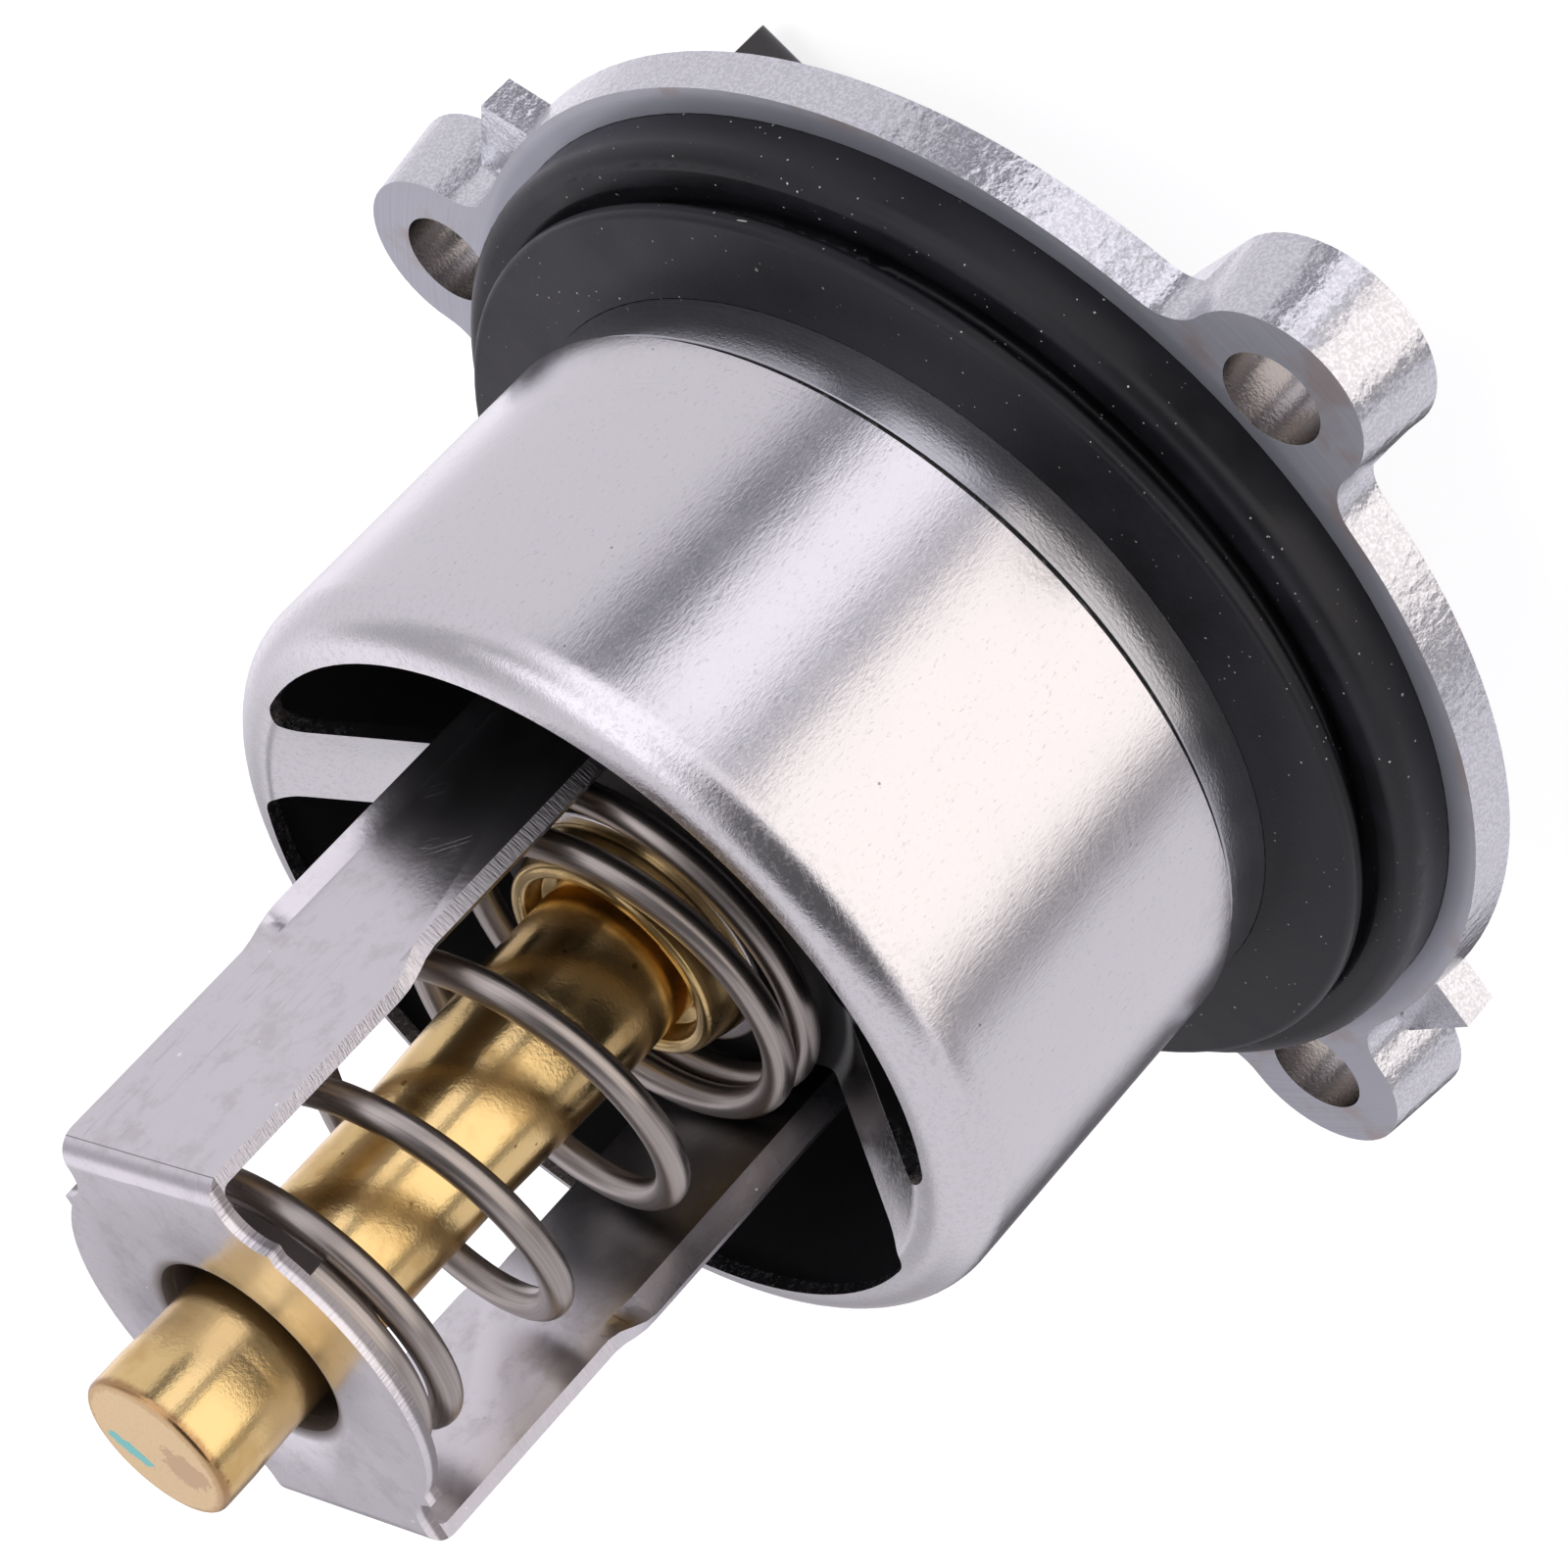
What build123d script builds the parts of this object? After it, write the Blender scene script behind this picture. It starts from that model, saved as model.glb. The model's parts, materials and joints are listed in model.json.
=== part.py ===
from build123d import *
import math
import os

# Engine thermostat with a sliding sleeve valve and a heated wax element.
# Millimetres. The origin is the centre of the flange face that seats on the engine, and +Z
# runs from that face through the sleeve and the stirrup to the closed end of the wax element.

os.makedirs("parts", exist_ok=True)

# Clearances and common values

NEST_GAP = 0.03          # between pieces of one assembly that sit in each other
CLOSED_GAP = 0.05        # between the closed sleeve and its seat
RUNNING_FIT = 0.05       # radial, wax element guide on its pin
SPRING_CLEARANCE = 0.3   # between the widest coil and the stirrup legs
SEAT_PLAY = 0.05         # between the spring's end coils and their seats
FINE_ROUND = 0.2
EDGE_ROUND = 0.3
SOFT_ROUND = 0.5
LARGE_ROUND = 0.8
CUT_OVER = 1.0           # how far a cutting shape reaches past what it cuts

# Flange cover

FLANGE_RADIUS = 38.0
FLANGE_THICKNESS = 3.0
FLOOR_HEIGHT = 1.0
EAR_AZIMUTHS = {"left": -146.5, "top": 95.3, "right": -7.1}
EAR_PITCH_RADIUS = 40.2
EAR_THICKNESS = 6.0
EAR_END_RADIUS = 6.2
EAR_DRAFT = 8.0
EAR_ROOT_FILLET = 3.5
BOLT_HOLE_RADIUS = 3.3
PAD_SIDES = {"left": -1, "right": 1}
PAD_REACH = 12.4
PAD_OUTER_RADIUS = 40.1
PAD_SETBACK = 3.2
SPIGOT_RADIUS = 27.6
SPIGOT_WALL = 3.0
SPIGOT_HEIGHT = 10.3
FLOOR_ROUND = 1.5
INNER_BOSS_RADIUS = 5.0
INNER_BOSS_HEIGHT = 8.0
OUTER_BOSS_RADIUS = 11.0
OUTER_BOSS_DEPTH = 8.0
PLUG_RADIUS = 6.0
PLUG_LENGTH = 6.4
RIB_WIDTH = 3.0
RIB_DEPTH = 2.5
RIB_HOLE_WALL = 2.0
COVER_EDGE = 0.6

# Seals

FLANGE_SEAL_RADIUS = 36.1
FLANGE_SEAL_LIP_RADIUS = 33.4
FLANGE_SEAL_GROOVE_RADIUS = 31.2
FLANGE_SEAL_HEIGHT = 6.7
FLANGE_SEAL_BEAD_HEIGHT = 3.7
FLANGE_SEAL_BEAD_WIDTH = 2.6
FLANGE_SEAL_BEAD_ROUND = 1.3
FLANGE_SEAL_DIP = 1.0
FLANGE_SEAL_LIP_LOW = 0.6
FLANGE_SEAL_LIP_HIGH = 1.1
FLANGE_SEAL_SEAT_DEPTH = 0.5
SEAT_SEAL_THICKNESS = 0.4
SEAT_SEAL_FOOT_WIDTH = 1.2
SEAT_SEAL_FOOT_DEPTH = 1.5
SEAT_SEAL_INSET = 0.1

# Sliding sleeve

SLEEVE_RADIUS = 28.0
SLEEVE_SHEET = 1.0
SLEEVE_FRONT_HEIGHT = 36.8
SLEEVE_FRONT_REACH = 4.0
SLEEVE_FRONT_ROUND = 3.6
SLEEVE_CREST_ROUND = 1.0
HUB_SEAT_DEPTH = 6.9
HUB_CONE_RADIUS = 14.2
HUB_CONE_ROUND = 1.0
HUB_COLLAR_RADIUS = 9.0
HUB_COLLAR_HEIGHT = 1.6
HUB_COLLAR_SHEET = 0.8
WINDOW_OUTER_RADIUS = 24.8
WINDOW_CORNER = 2.0
HUB_LEG_CLEARANCE = 0.4
SPOKE_AZIMUTH = 30.0
SPOKE_WIDTH = 7.4

# Stirrup

STIRRUP_AZIMUTH = 157.5
STIRRUP_SHEET = 1.0
STIRRUP_TOP = 67.2
STIRRUP_LEG_FACE = 14.5
STIRRUP_WIDTH = 13.5
STIRRUP_DISC_RADIUS = 13.0
STIRRUP_WAIST_ROUND = 2.5
STIRRUP_BEND = 0.6
STIRRUP_HOLE_RADIUS = 6.3
STIRRUP_HOLE_ROUND = 0.7
STIRRUP_COLLAR_DEPTH = 1.3
LIP_ANGLE = 40.0
LIP_LENGTH = 1.4
LIP_TOP = 51.0
LIP_BOTTOM = 7.0
LIP_RUNOUT = 3.5
LIP_STATIONS = 4
FOOT_REACH = 22.2
FOOT_CORNER = 2.5
POST_DISTANCE = 18.6
POST_RADIUS = 1.75
POST_HEAD_RADIUS = 2.9
POST_HEAD_HEIGHT = 1.2
POST_HEAD_SLOPE = 0.9

# Conical return spring

WIRE_DIAMETER = 2.0
SPRING_SMALL_RADIUS = 10.1
SPRING_PITCH = 9.95
SPRING_CLOSED_PITCH_GAP = 0.12
SMALL_CLOSED_TURNS = 0.95
SMALL_RAMP_TURNS = 0.6
LARGE_RAMP_TURNS = 0.35
LARGE_CLOSED_TURNS = 1.2
SPRING_START_AZIMUTH = 105.0
SPRING_POINTS_PER_TURN = 12

# Wax element

ELEMENT_END = 75.3
ELEMENT_RADIUS = 4.95
ELEMENT_END_RADIUS = 5.1
ELEMENT_END_BAND = 3.0
ELEMENT_END_CROWN = 0.15
ELEMENT_ROOT_RADIUS = 5.35
ELEMENT_STEP_RISE = 16.0
ELEMENT_STEP_LENGTH = 5.0
ELEMENT_BORE_RADIUS = 4.1
ELEMENT_END_WALL = 1.5
ELEMENT_FLANGE_RADIUS = 9.0
ELEMENT_FLANGE_SHEET = 1.15
COLLAR_FRONT_RISE = 4.7
COLLAR_NECK_RISE = 0.3
COLLAR_MOUTH_DEPTH = 1.6
COLLAR_MOUTH_SLOPE = 0.4
COLLAR_FRONT_RADIUS = 7.4
COLLAR_MOUTH_RADIUS = 6.45
COLLAR_FLANGE_RADIUS = 10.5
COLLAR_FLANGE_SHEET = 1.5
GUIDE_FLANGE_SHEET = 1.5
GUIDE_NOSE_RADIUS = 4.6
GUIDE_NOSE_LENGTH = 11.0
CRIMP_LIP_RADIUS = 8.0
CRIMP_LIP_SHEET = 0.8
PIN_RADIUS = 2.0
PIN_WALL = 0.35
PIN_END = 60.0
BOOT_RADIUS = 3.0
BOOT_END_WALL = 1.0
BOOT_TIP_GAP = 0.4
BOOT_FLANGE_SHEET = 0.8
WASHER_SHEET = 0.6

# Electric heater and connector

HEATER_LENGTH = 13.0
HEATER_GAP = 0.1
HEATER_END_GAP = 0.4
LEAD_RADIUS = 0.35
LEAD_OFFSET = 0.8
CONNECTOR_AZIMUTH = 190.0
CONNECTOR_REACH = 32.6
CONNECTOR_HALF_WIDTH = 7.5
CONNECTOR_TOP = -5.8
CONNECTOR_BOTTOM = -15.0
CONNECTOR_WALL = 1.4
CONNECTOR_CORNER = 1.6
CONNECTOR_ARM_GAP = 0.4
SOCKET_DEPTH = 12.0
CAP_RADIUS = 12.0
CAP_BOTTOM = -16.0
CAP_EDGE = 1.0
LATCH_LENGTH = 4.0
LATCH_WIDTH = 5.0
LATCH_HEIGHT = 1.2
LATCH_SETBACK = 3.0
LATCH_ROOT = 0.2
TERMINAL_SHEET = 0.8
TERMINAL_WIDTH = 1.8
TERMINAL_SPACING = 5.0
TERMINAL_TIP_SETBACK = 4.0
TERMINAL_TOP = -10.0
PIN_SEAT_RISE = 1.0
O_RING_SECTION = 0.75
O_RING_HEIGHT = -3.6
O_RING_SIDE_GAP = 0.2
CLIP_SHEET = 0.8
CLIP_HEIGHT = -7.0
CLIP_NECK_RADIUS = 5.2
CLIP_HALF_WIDTH = 7.6
CLIP_BRIDGE = 2.0
CLIP_REACH = 5.0
CLIP_CORNER = 0.8

# Heights and radii that follow

SPIGOT_BORE = SPIGOT_RADIUS - SPIGOT_WALL
SEAT_HEIGHT = SPIGOT_HEIGHT + NEST_GAP + SEAT_SEAL_THICKNESS
SLEEVE_BACK = SEAT_HEIGHT + CLOSED_GAP
LEG_INNER_FACE = STIRRUP_LEG_FACE - STIRRUP_SHEET
SPRING_LARGE_RADIUS = LEG_INNER_FACE - SPRING_CLEARANCE - WIRE_DIAMETER / 2
HUB_RADIUS = LEG_INNER_FACE - HUB_LEG_CLEARANCE
HUB_SEAT_HEIGHT = SLEEVE_FRONT_HEIGHT - HUB_SEAT_DEPTH
HUB_UNDERSIDE = HUB_SEAT_HEIGHT - SLEEVE_SHEET
HUB_BORE = HUB_COLLAR_RADIUS - HUB_COLLAR_SHEET
COLLAR_FRONT_HEIGHT = HUB_SEAT_HEIGHT + COLLAR_FRONT_RISE
ELEMENT_STEP_HEIGHT = HUB_SEAT_HEIGHT + ELEMENT_STEP_RISE
COLLAR_FLANGE_TOP = HUB_UNDERSIDE - NEST_GAP
ELEMENT_FLANGE_TOP = COLLAR_FLANGE_TOP - COLLAR_FLANGE_SHEET - NEST_GAP
GUIDE_FLANGE_TOP = ELEMENT_FLANGE_TOP - ELEMENT_FLANGE_SHEET - NEST_GAP
GUIDE_FLANGE_BOTTOM = GUIDE_FLANGE_TOP - GUIDE_FLANGE_SHEET
GUIDE_NOSE_END = GUIDE_FLANGE_BOTTOM - GUIDE_NOSE_LENGTH
PIN_BOTTOM = TERMINAL_TOP + PIN_SEAT_RISE
PLUG_FACE = -OUTER_BOSS_DEPTH - NEST_GAP
PLUG_SEAT = PLUG_FACE + PLUG_LENGTH
BOOT_TIP = PIN_END + BOOT_TIP_GAP
BOOT_TOP = BOOT_TIP + BOOT_END_WALL


def turned(points, rounds=None):
    """Solid turned about Z from points of radius and height, with a round at each corner."""
    places = [(radius, 0, height) for radius, height in points]
    if rounds is None:
        outline = Polyline(*places, close=True)
    else:
        outline = FilletPolyline(*places, radius=rounds, close=True)
    return revolve(make_face(outline), Axis.Z)


def ring(outer, inner, low, high):
    """Plain ring between two radii and two heights."""
    return turned([(inner, low), (outer, low), (outer, high), (inner, high)])


def disc(radius, low, high):
    return Pos(0, 0, (low + high) / 2) * Cylinder(radius, high - low)


def block(x_low, x_high, y_low, y_high, z_low, z_high):
    """Box between two corners."""
    size = Box(x_high - x_low, y_high - y_low, z_high - z_low)
    return Pos((x_low + x_high) / 2, (y_low + y_high) / 2, (z_low + z_high) / 2) * size


def turn_to(azimuth, shape):
    """Turn a shape drawn along +X about Z to an azimuth."""
    return Rot(0, 0, azimuth) * shape


def foot_places():
    """Centres of the two rivet posts, in the stirrup's own direction."""
    return [(-POST_DISTANCE, 0), (POST_DISTANCE, 0)]


def ear_outline(azimuth):
    """Flat outline of one bolt ear with a tangent arc on each side that runs into the flange."""
    reach = FLANGE_RADIUS + EAR_ROOT_FILLET
    rise = EAR_END_RADIUS + EAR_ROOT_FILLET
    spread = math.acos((EAR_PITCH_RADIUS**2 + reach**2 - rise**2) / (2 * EAR_PITCH_RADIUS * reach))
    x, y = reach * math.cos(spread), reach * math.sin(spread)
    web = make_face(Polyline((0, 0), (x, y), (EAR_PITCH_RADIUS, 0), (x, -y), close=True))
    web -= Pos(x, y) * Circle(EAR_ROOT_FILLET)
    web -= Pos(x, -y) * Circle(EAR_ROOT_FILLET)
    return turn_to(azimuth, web + Pos(EAR_PITCH_RADIUS, 0) * Circle(EAR_END_RADIUS))


def flange_plate():
    """Drafted flange with its ears, thicker at the ears and their pads than between them."""
    outline = Circle(FLANGE_RADIUS)
    for azimuth in EAR_AZIMUTHS.values():
        outline += ear_outline(azimuth)
    plate = extrude(Plane.XY * outline, -EAR_THICKNESS, taper=-EAR_DRAFT)
    spread = EAR_THICKNESS * math.tan(math.radians(EAR_DRAFT))
    half = EAR_END_RADIUS + spread
    end = EAR_PITCH_RADIUS + half + CUT_OVER
    relief = disc(2 * FLANGE_RADIUS, -EAR_THICKNESS - CUT_OVER, -FLANGE_THICKNESS)
    for azimuth in EAR_AZIMUTHS.values():
        kept = block(EAR_PITCH_RADIUS - half, end, -half, half, -EAR_THICKNESS - 2 * CUT_OVER,
                     -FLANGE_THICKNESS + CUT_OVER)
        relief -= turn_to(azimuth, kept)
    plate -= relief
    for name, side in PAD_SIDES.items():
        low, high = sorted((0, side * PAD_REACH))
        pad = block(EAR_PITCH_RADIUS - half, PAD_OUTER_RADIUS, low, high, -EAR_THICKNESS, -PAD_SETBACK)
        plate += turn_to(EAR_AZIMUTHS[name], pad)
    return plate


def rivet_post(x, y):
    """Cast post peened over a stirrup foot."""
    foot_top = FLOOR_HEIGHT + NEST_GAP + STIRRUP_SHEET
    head_low = foot_top + NEST_GAP
    head_top = head_low + POST_HEAD_HEIGHT
    head = turned(
        [(0, head_low), (POST_HEAD_RADIUS, head_low), (POST_HEAD_RADIUS - POST_HEAD_SLOPE, head_top), (0, head_top)],
        [0, EDGE_ROUND, SOFT_ROUND, 0],
    )
    shank = disc(POST_RADIUS, FLOOR_HEIGHT - STIRRUP_SHEET / 2, (head_low + head_top) / 2)
    return Pos(x, y) * (shank + head)


def make_cover():
    """Die-cast cover: flange with three ears, turned spigot, centre bosses and rivet posts."""
    cover = flange_plate()
    cover += turned(
        [(0, -FLANGE_THICKNESS), (SPIGOT_RADIUS, -FLANGE_THICKNESS), (SPIGOT_RADIUS, SPIGOT_HEIGHT),
         (SPIGOT_BORE, SPIGOT_HEIGHT), (SPIGOT_BORE, FLOOR_HEIGHT), (0, FLOOR_HEIGHT)],
        [0, 0, FINE_ROUND, FINE_ROUND, FLOOR_ROUND, 0],
    )
    cover += turned(
        [(0, -FLANGE_THICKNESS), (OUTER_BOSS_RADIUS, -FLANGE_THICKNESS),
         (OUTER_BOSS_RADIUS, -OUTER_BOSS_DEPTH), (0, -OUTER_BOSS_DEPTH)],
        [0, 0, COVER_EDGE, 0],
    )
    cover += turned(
        [(0, 0), (INNER_BOSS_RADIUS, 0), (INNER_BOSS_RADIUS, INNER_BOSS_HEIGHT), (0, INNER_BOSS_HEIGHT)],
        [0, 0, COVER_EDGE, 0],
    )
    for azimuth in EAR_AZIMUTHS.values():
        rib_end = EAR_PITCH_RADIUS - BOLT_HOLE_RADIUS - RIB_HOLE_WALL
        rib = block(OUTER_BOSS_RADIUS - COVER_EDGE, rib_end, -RIB_WIDTH / 2, RIB_WIDTH / 2,
                    -FLANGE_THICKNESS - RIB_DEPTH, -FLANGE_THICKNESS)
        cover += turn_to(azimuth, rib)
        hole = disc(BOLT_HOLE_RADIUS, -EAR_THICKNESS - CUT_OVER, CUT_OVER)
        cover -= turn_to(azimuth, Pos(EAR_PITCH_RADIUS, 0) * hole)
    seal_seat = FLANGE_SEAL_RADIUS + NEST_GAP
    cover -= ring(seal_seat, SPIGOT_RADIUS, -FLANGE_SEAL_SEAT_DEPTH, CUT_OVER)
    foot_outer = SEAT_SEAL_FOOT_WIDTH / 2 + (SPIGOT_RADIUS + SPIGOT_BORE) / 2 + NEST_GAP
    foot_inner = foot_outer - SEAT_SEAL_FOOT_WIDTH - 2 * NEST_GAP
    cover -= ring(foot_outer, foot_inner, SPIGOT_HEIGHT - SEAT_SEAL_FOOT_DEPTH - NEST_GAP,
                  SPIGOT_HEIGHT + CUT_OVER)
    cover -= disc(PLUG_RADIUS, -OUTER_BOSS_DEPTH - CUT_OVER, PLUG_SEAT + NEST_GAP)
    cover -= disc(PIN_RADIUS + NEST_GAP, -OUTER_BOSS_DEPTH, INNER_BOSS_HEIGHT + CUT_OVER)
    for side in (-1, 1):
        low, high = sorted((side * (CLIP_NECK_RADIUS - NEST_GAP), side * (CLIP_HALF_WIDTH + NEST_GAP)))
        slot = block(-OUTER_BOSS_RADIUS - CUT_OVER, CLIP_REACH + SOFT_ROUND, low, high,
                     CLIP_HEIGHT - CLIP_SHEET / 2 - NEST_GAP, CLIP_HEIGHT + CLIP_SHEET / 2 + NEST_GAP)
        cover -= turn_to(CONNECTOR_AZIMUTH, slot)
    for x, y in foot_places():
        cover += turn_to(STIRRUP_AZIMUTH, rivet_post(x, y))
    return cover


def make_flange_seal():
    """Moulded ring seal in the flange's seat: a broad bead outside, a lip round the spigot."""
    inner = SPIGOT_RADIUS + NEST_GAP
    outer = FLANGE_SEAL_RADIUS
    groove = FLANGE_SEAL_GROOVE_RADIUS
    lip = FLANGE_SEAL_LIP_RADIUS
    low = NEST_GAP - FLANGE_SEAL_SEAT_DEPTH
    bead = FLANGE_SEAL_BEAD_HEIGHT
    top = FLANGE_SEAL_HEIGHT
    return turned(
        [(inner, low), (outer, low), (outer, bead), (outer - FLANGE_SEAL_BEAD_WIDTH, bead),
         (groove, bead - FLANGE_SEAL_DIP), (groove, bead + FLANGE_SEAL_LIP_LOW), (lip, bead + FLANGE_SEAL_LIP_HIGH),
         (lip, top - FLANGE_SEAL_LIP_LOW), (inner, top)],
        [0, FINE_ROUND, FLANGE_SEAL_BEAD_ROUND, LARGE_ROUND,
         SOFT_ROUND, EDGE_ROUND, SOFT_ROUND,
         SOFT_ROUND, 0],
    )


def make_seat_seal():
    """Flat sealing ring on the end of the spigot, held by a foot in its groove."""
    middle = (SPIGOT_RADIUS + SPIGOT_BORE) / 2
    outer = SPIGOT_RADIUS - SEAT_SEAL_INSET
    inner = SPIGOT_BORE + SEAT_SEAL_INSET
    foot_low = SPIGOT_HEIGHT - SEAT_SEAL_FOOT_DEPTH
    low = SPIGOT_HEIGHT + NEST_GAP
    half = SEAT_SEAL_FOOT_WIDTH / 2
    return turned(
        [(middle - half, foot_low), (middle + half, foot_low), (middle + half, low), (outer, low),
         (outer, SEAT_HEIGHT), (inner, SEAT_HEIGHT), (inner, low), (middle - half, low)]
    )


def window_faces():
    """The two openings in the sleeve's front, between its spokes."""
    band = Rectangle(4 * WINDOW_OUTER_RADIUS, SPOKE_WIDTH)
    sectors = (Circle(WINDOW_OUTER_RADIUS) - Circle(HUB_RADIUS)) - band
    return fillet(sectors.vertices(), WINDOW_CORNER)


def make_sleeve():
    """Drawn aluminium sleeve: one sheet from the rim over the rounded front to the hub."""
    sheet = SLEEVE_SHEET
    inner = SLEEVE_RADIUS - sheet
    front = SLEEVE_FRONT_HEIGHT
    crest = SLEEVE_RADIUS - SLEEVE_FRONT_REACH
    slope = math.atan2(front - HUB_SEAT_HEIGHT, crest - HUB_CONE_RADIUS)
    shift = sheet * math.tan(slope / 2)
    collar_top = HUB_SEAT_HEIGHT + HUB_COLLAR_HEIGHT
    shell = turned(
        [(inner, SLEEVE_BACK), (SLEEVE_RADIUS, SLEEVE_BACK), (SLEEVE_RADIUS, front), (crest, front),
         (HUB_CONE_RADIUS, HUB_SEAT_HEIGHT), (HUB_COLLAR_RADIUS, HUB_SEAT_HEIGHT),
         (HUB_COLLAR_RADIUS, collar_top),
         (HUB_BORE, collar_top), (HUB_BORE, HUB_UNDERSIDE), (HUB_CONE_RADIUS + shift, HUB_UNDERSIDE),
         (crest + shift, front - sheet), (inner, front - sheet)],
        [0, 0, SLEEVE_FRONT_ROUND, SLEEVE_CREST_ROUND, HUB_CONE_ROUND, SOFT_ROUND, FINE_ROUND,
         0, SOFT_ROUND, HUB_CONE_ROUND + sheet, 0, SLEEVE_FRONT_ROUND - sheet],
    )
    height = front - HUB_UNDERSIDE
    windows = extrude(Plane.XY.offset(HUB_UNDERSIDE - sheet) * window_faces(), height + 2 * sheet)
    return shell - turn_to(SPOKE_AZIMUTH, windows)


def lip_section(share):
    """Cross-section of one leg edge, turned outwards by a share of its angle, as distance and side."""
    half = STIRRUP_WIDTH / 2
    start = half - LIP_LENGTH
    angle = math.radians(LIP_ANGLE * share)
    first_bend = math.radians(LIP_ANGLE / LIP_STATIONS)
    knee = (LEG_INNER_FACE, start + STIRRUP_SHEET * math.tan(max(angle, first_bend) / 2))
    tip = (STIRRUP_LEG_FACE + LIP_LENGTH * math.sin(angle), start + LIP_LENGTH * math.cos(angle))
    back = (tip[0] - STIRRUP_SHEET * math.cos(angle), tip[1] + STIRRUP_SHEET * math.sin(angle))
    return [(LEG_INNER_FACE, start), (STIRRUP_LEG_FACE, start), tip, back, knee]


def leg_lips(side):
    """Stiffening edge of one leg, with a smooth run-out at each end."""
    runs = [step / LIP_STATIONS for step in range(LIP_STATIONS + 1)]
    stations = [(LIP_BOTTOM + run * LIP_RUNOUT, run) for run in runs]
    stations += [(LIP_TOP - run * LIP_RUNOUT, run) for run in reversed(runs)]
    outlines = []
    for height, run in stations:
        share = run * run * (3 - 2 * run)
        points = [(x, side * y, height) for x, y in lip_section(share)]
        outlines.append(make_face(Polyline(*points, close=True)))
    return loft(outlines, ruled=True)


def disc_outline():
    """Flat outline of the stirrup's disc on the strap, with a round at each of the four waists."""
    reach = STIRRUP_DISC_RADIUS + STIRRUP_WAIST_ROUND
    rise = STIRRUP_WIDTH / 2 + STIRRUP_WAIST_ROUND
    run = math.sqrt(reach**2 - rise**2)
    web = make_face(Polyline((-run, rise), (run, rise), (run, -rise), (-run, -rise), close=True))
    for x in (-run, run):
        for y in (-rise, rise):
            web -= Pos(x, y) * Circle(STIRRUP_WAIST_ROUND)
    return web + Circle(STIRRUP_DISC_RADIUS)


def make_stirrup():
    """Pressed stirrup: disc with a drawn hole, two legs with turned edges and two feet."""
    sheet = STIRRUP_SHEET
    foot_low = FLOOR_HEIGHT + NEST_GAP
    foot_top = foot_low + sheet
    half = STIRRUP_WIDTH / 2
    under = STIRRUP_TOP - sheet
    tight = STIRRUP_BEND
    wide = STIRRUP_BEND + sheet
    section = FilletPolyline(
        (-FOOT_REACH, 0, foot_low), (-LEG_INNER_FACE, 0, foot_low), (-LEG_INNER_FACE, 0, under),
        (LEG_INNER_FACE, 0, under), (LEG_INNER_FACE, 0, foot_low), (FOOT_REACH, 0, foot_low),
        (FOOT_REACH, 0, foot_top), (STIRRUP_LEG_FACE, 0, foot_top), (STIRRUP_LEG_FACE, 0, STIRRUP_TOP),
        (-STIRRUP_LEG_FACE, 0, STIRRUP_TOP), (-STIRRUP_LEG_FACE, 0, foot_top), (-FOOT_REACH, 0, foot_top),
        radius=[0, wide, tight, tight, wide, 0, 0, tight, wide, wide, tight, 0],
        close=True,
    )
    stirrup = extrude(make_face(section), half, both=True)
    upright = stirrup.edges().filter_by(Axis.Z)
    stirrup = fillet(upright.filter_by(lambda edge: abs(abs((edge @ 0.5).X) - FOOT_REACH) < 0.01), FOOT_CORNER)
    for direction in (0, 180):
        for side in (-1, 1):
            low, high = sorted((side * (half - LIP_LENGTH), side * (half + CUT_OVER)))
            edge_strip = block(LEG_INNER_FACE - CUT_OVER, STIRRUP_LEG_FACE + CUT_OVER, low, high,
                               LIP_BOTTOM, LIP_TOP)
            stirrup = stirrup - turn_to(direction, edge_strip) + turn_to(direction, leg_lips(side))
    stirrup += extrude(Plane.XY.offset(under) * disc_outline(), sheet)
    bore = STIRRUP_HOLE_RADIUS
    collar_end = under - STIRRUP_COLLAR_DEPTH
    stirrup += ring(bore + sheet, bore, collar_end, STIRRUP_TOP)
    hole = turned(
        [(0, collar_end - CUT_OVER), (bore, collar_end - CUT_OVER), (bore, STIRRUP_TOP - STIRRUP_HOLE_ROUND),
         (bore + FINE_ROUND, STIRRUP_TOP - FINE_ROUND), (bore + STIRRUP_HOLE_ROUND, STIRRUP_TOP), (0, STIRRUP_TOP)],
    )
    stirrup -= hole
    for x, y in foot_places():
        stirrup -= Pos(x, y) * disc(POST_RADIUS + NEST_GAP, foot_low - CUT_OVER, foot_top + CUT_OVER)
    return turn_to(STIRRUP_AZIMUTH, stirrup)


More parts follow.
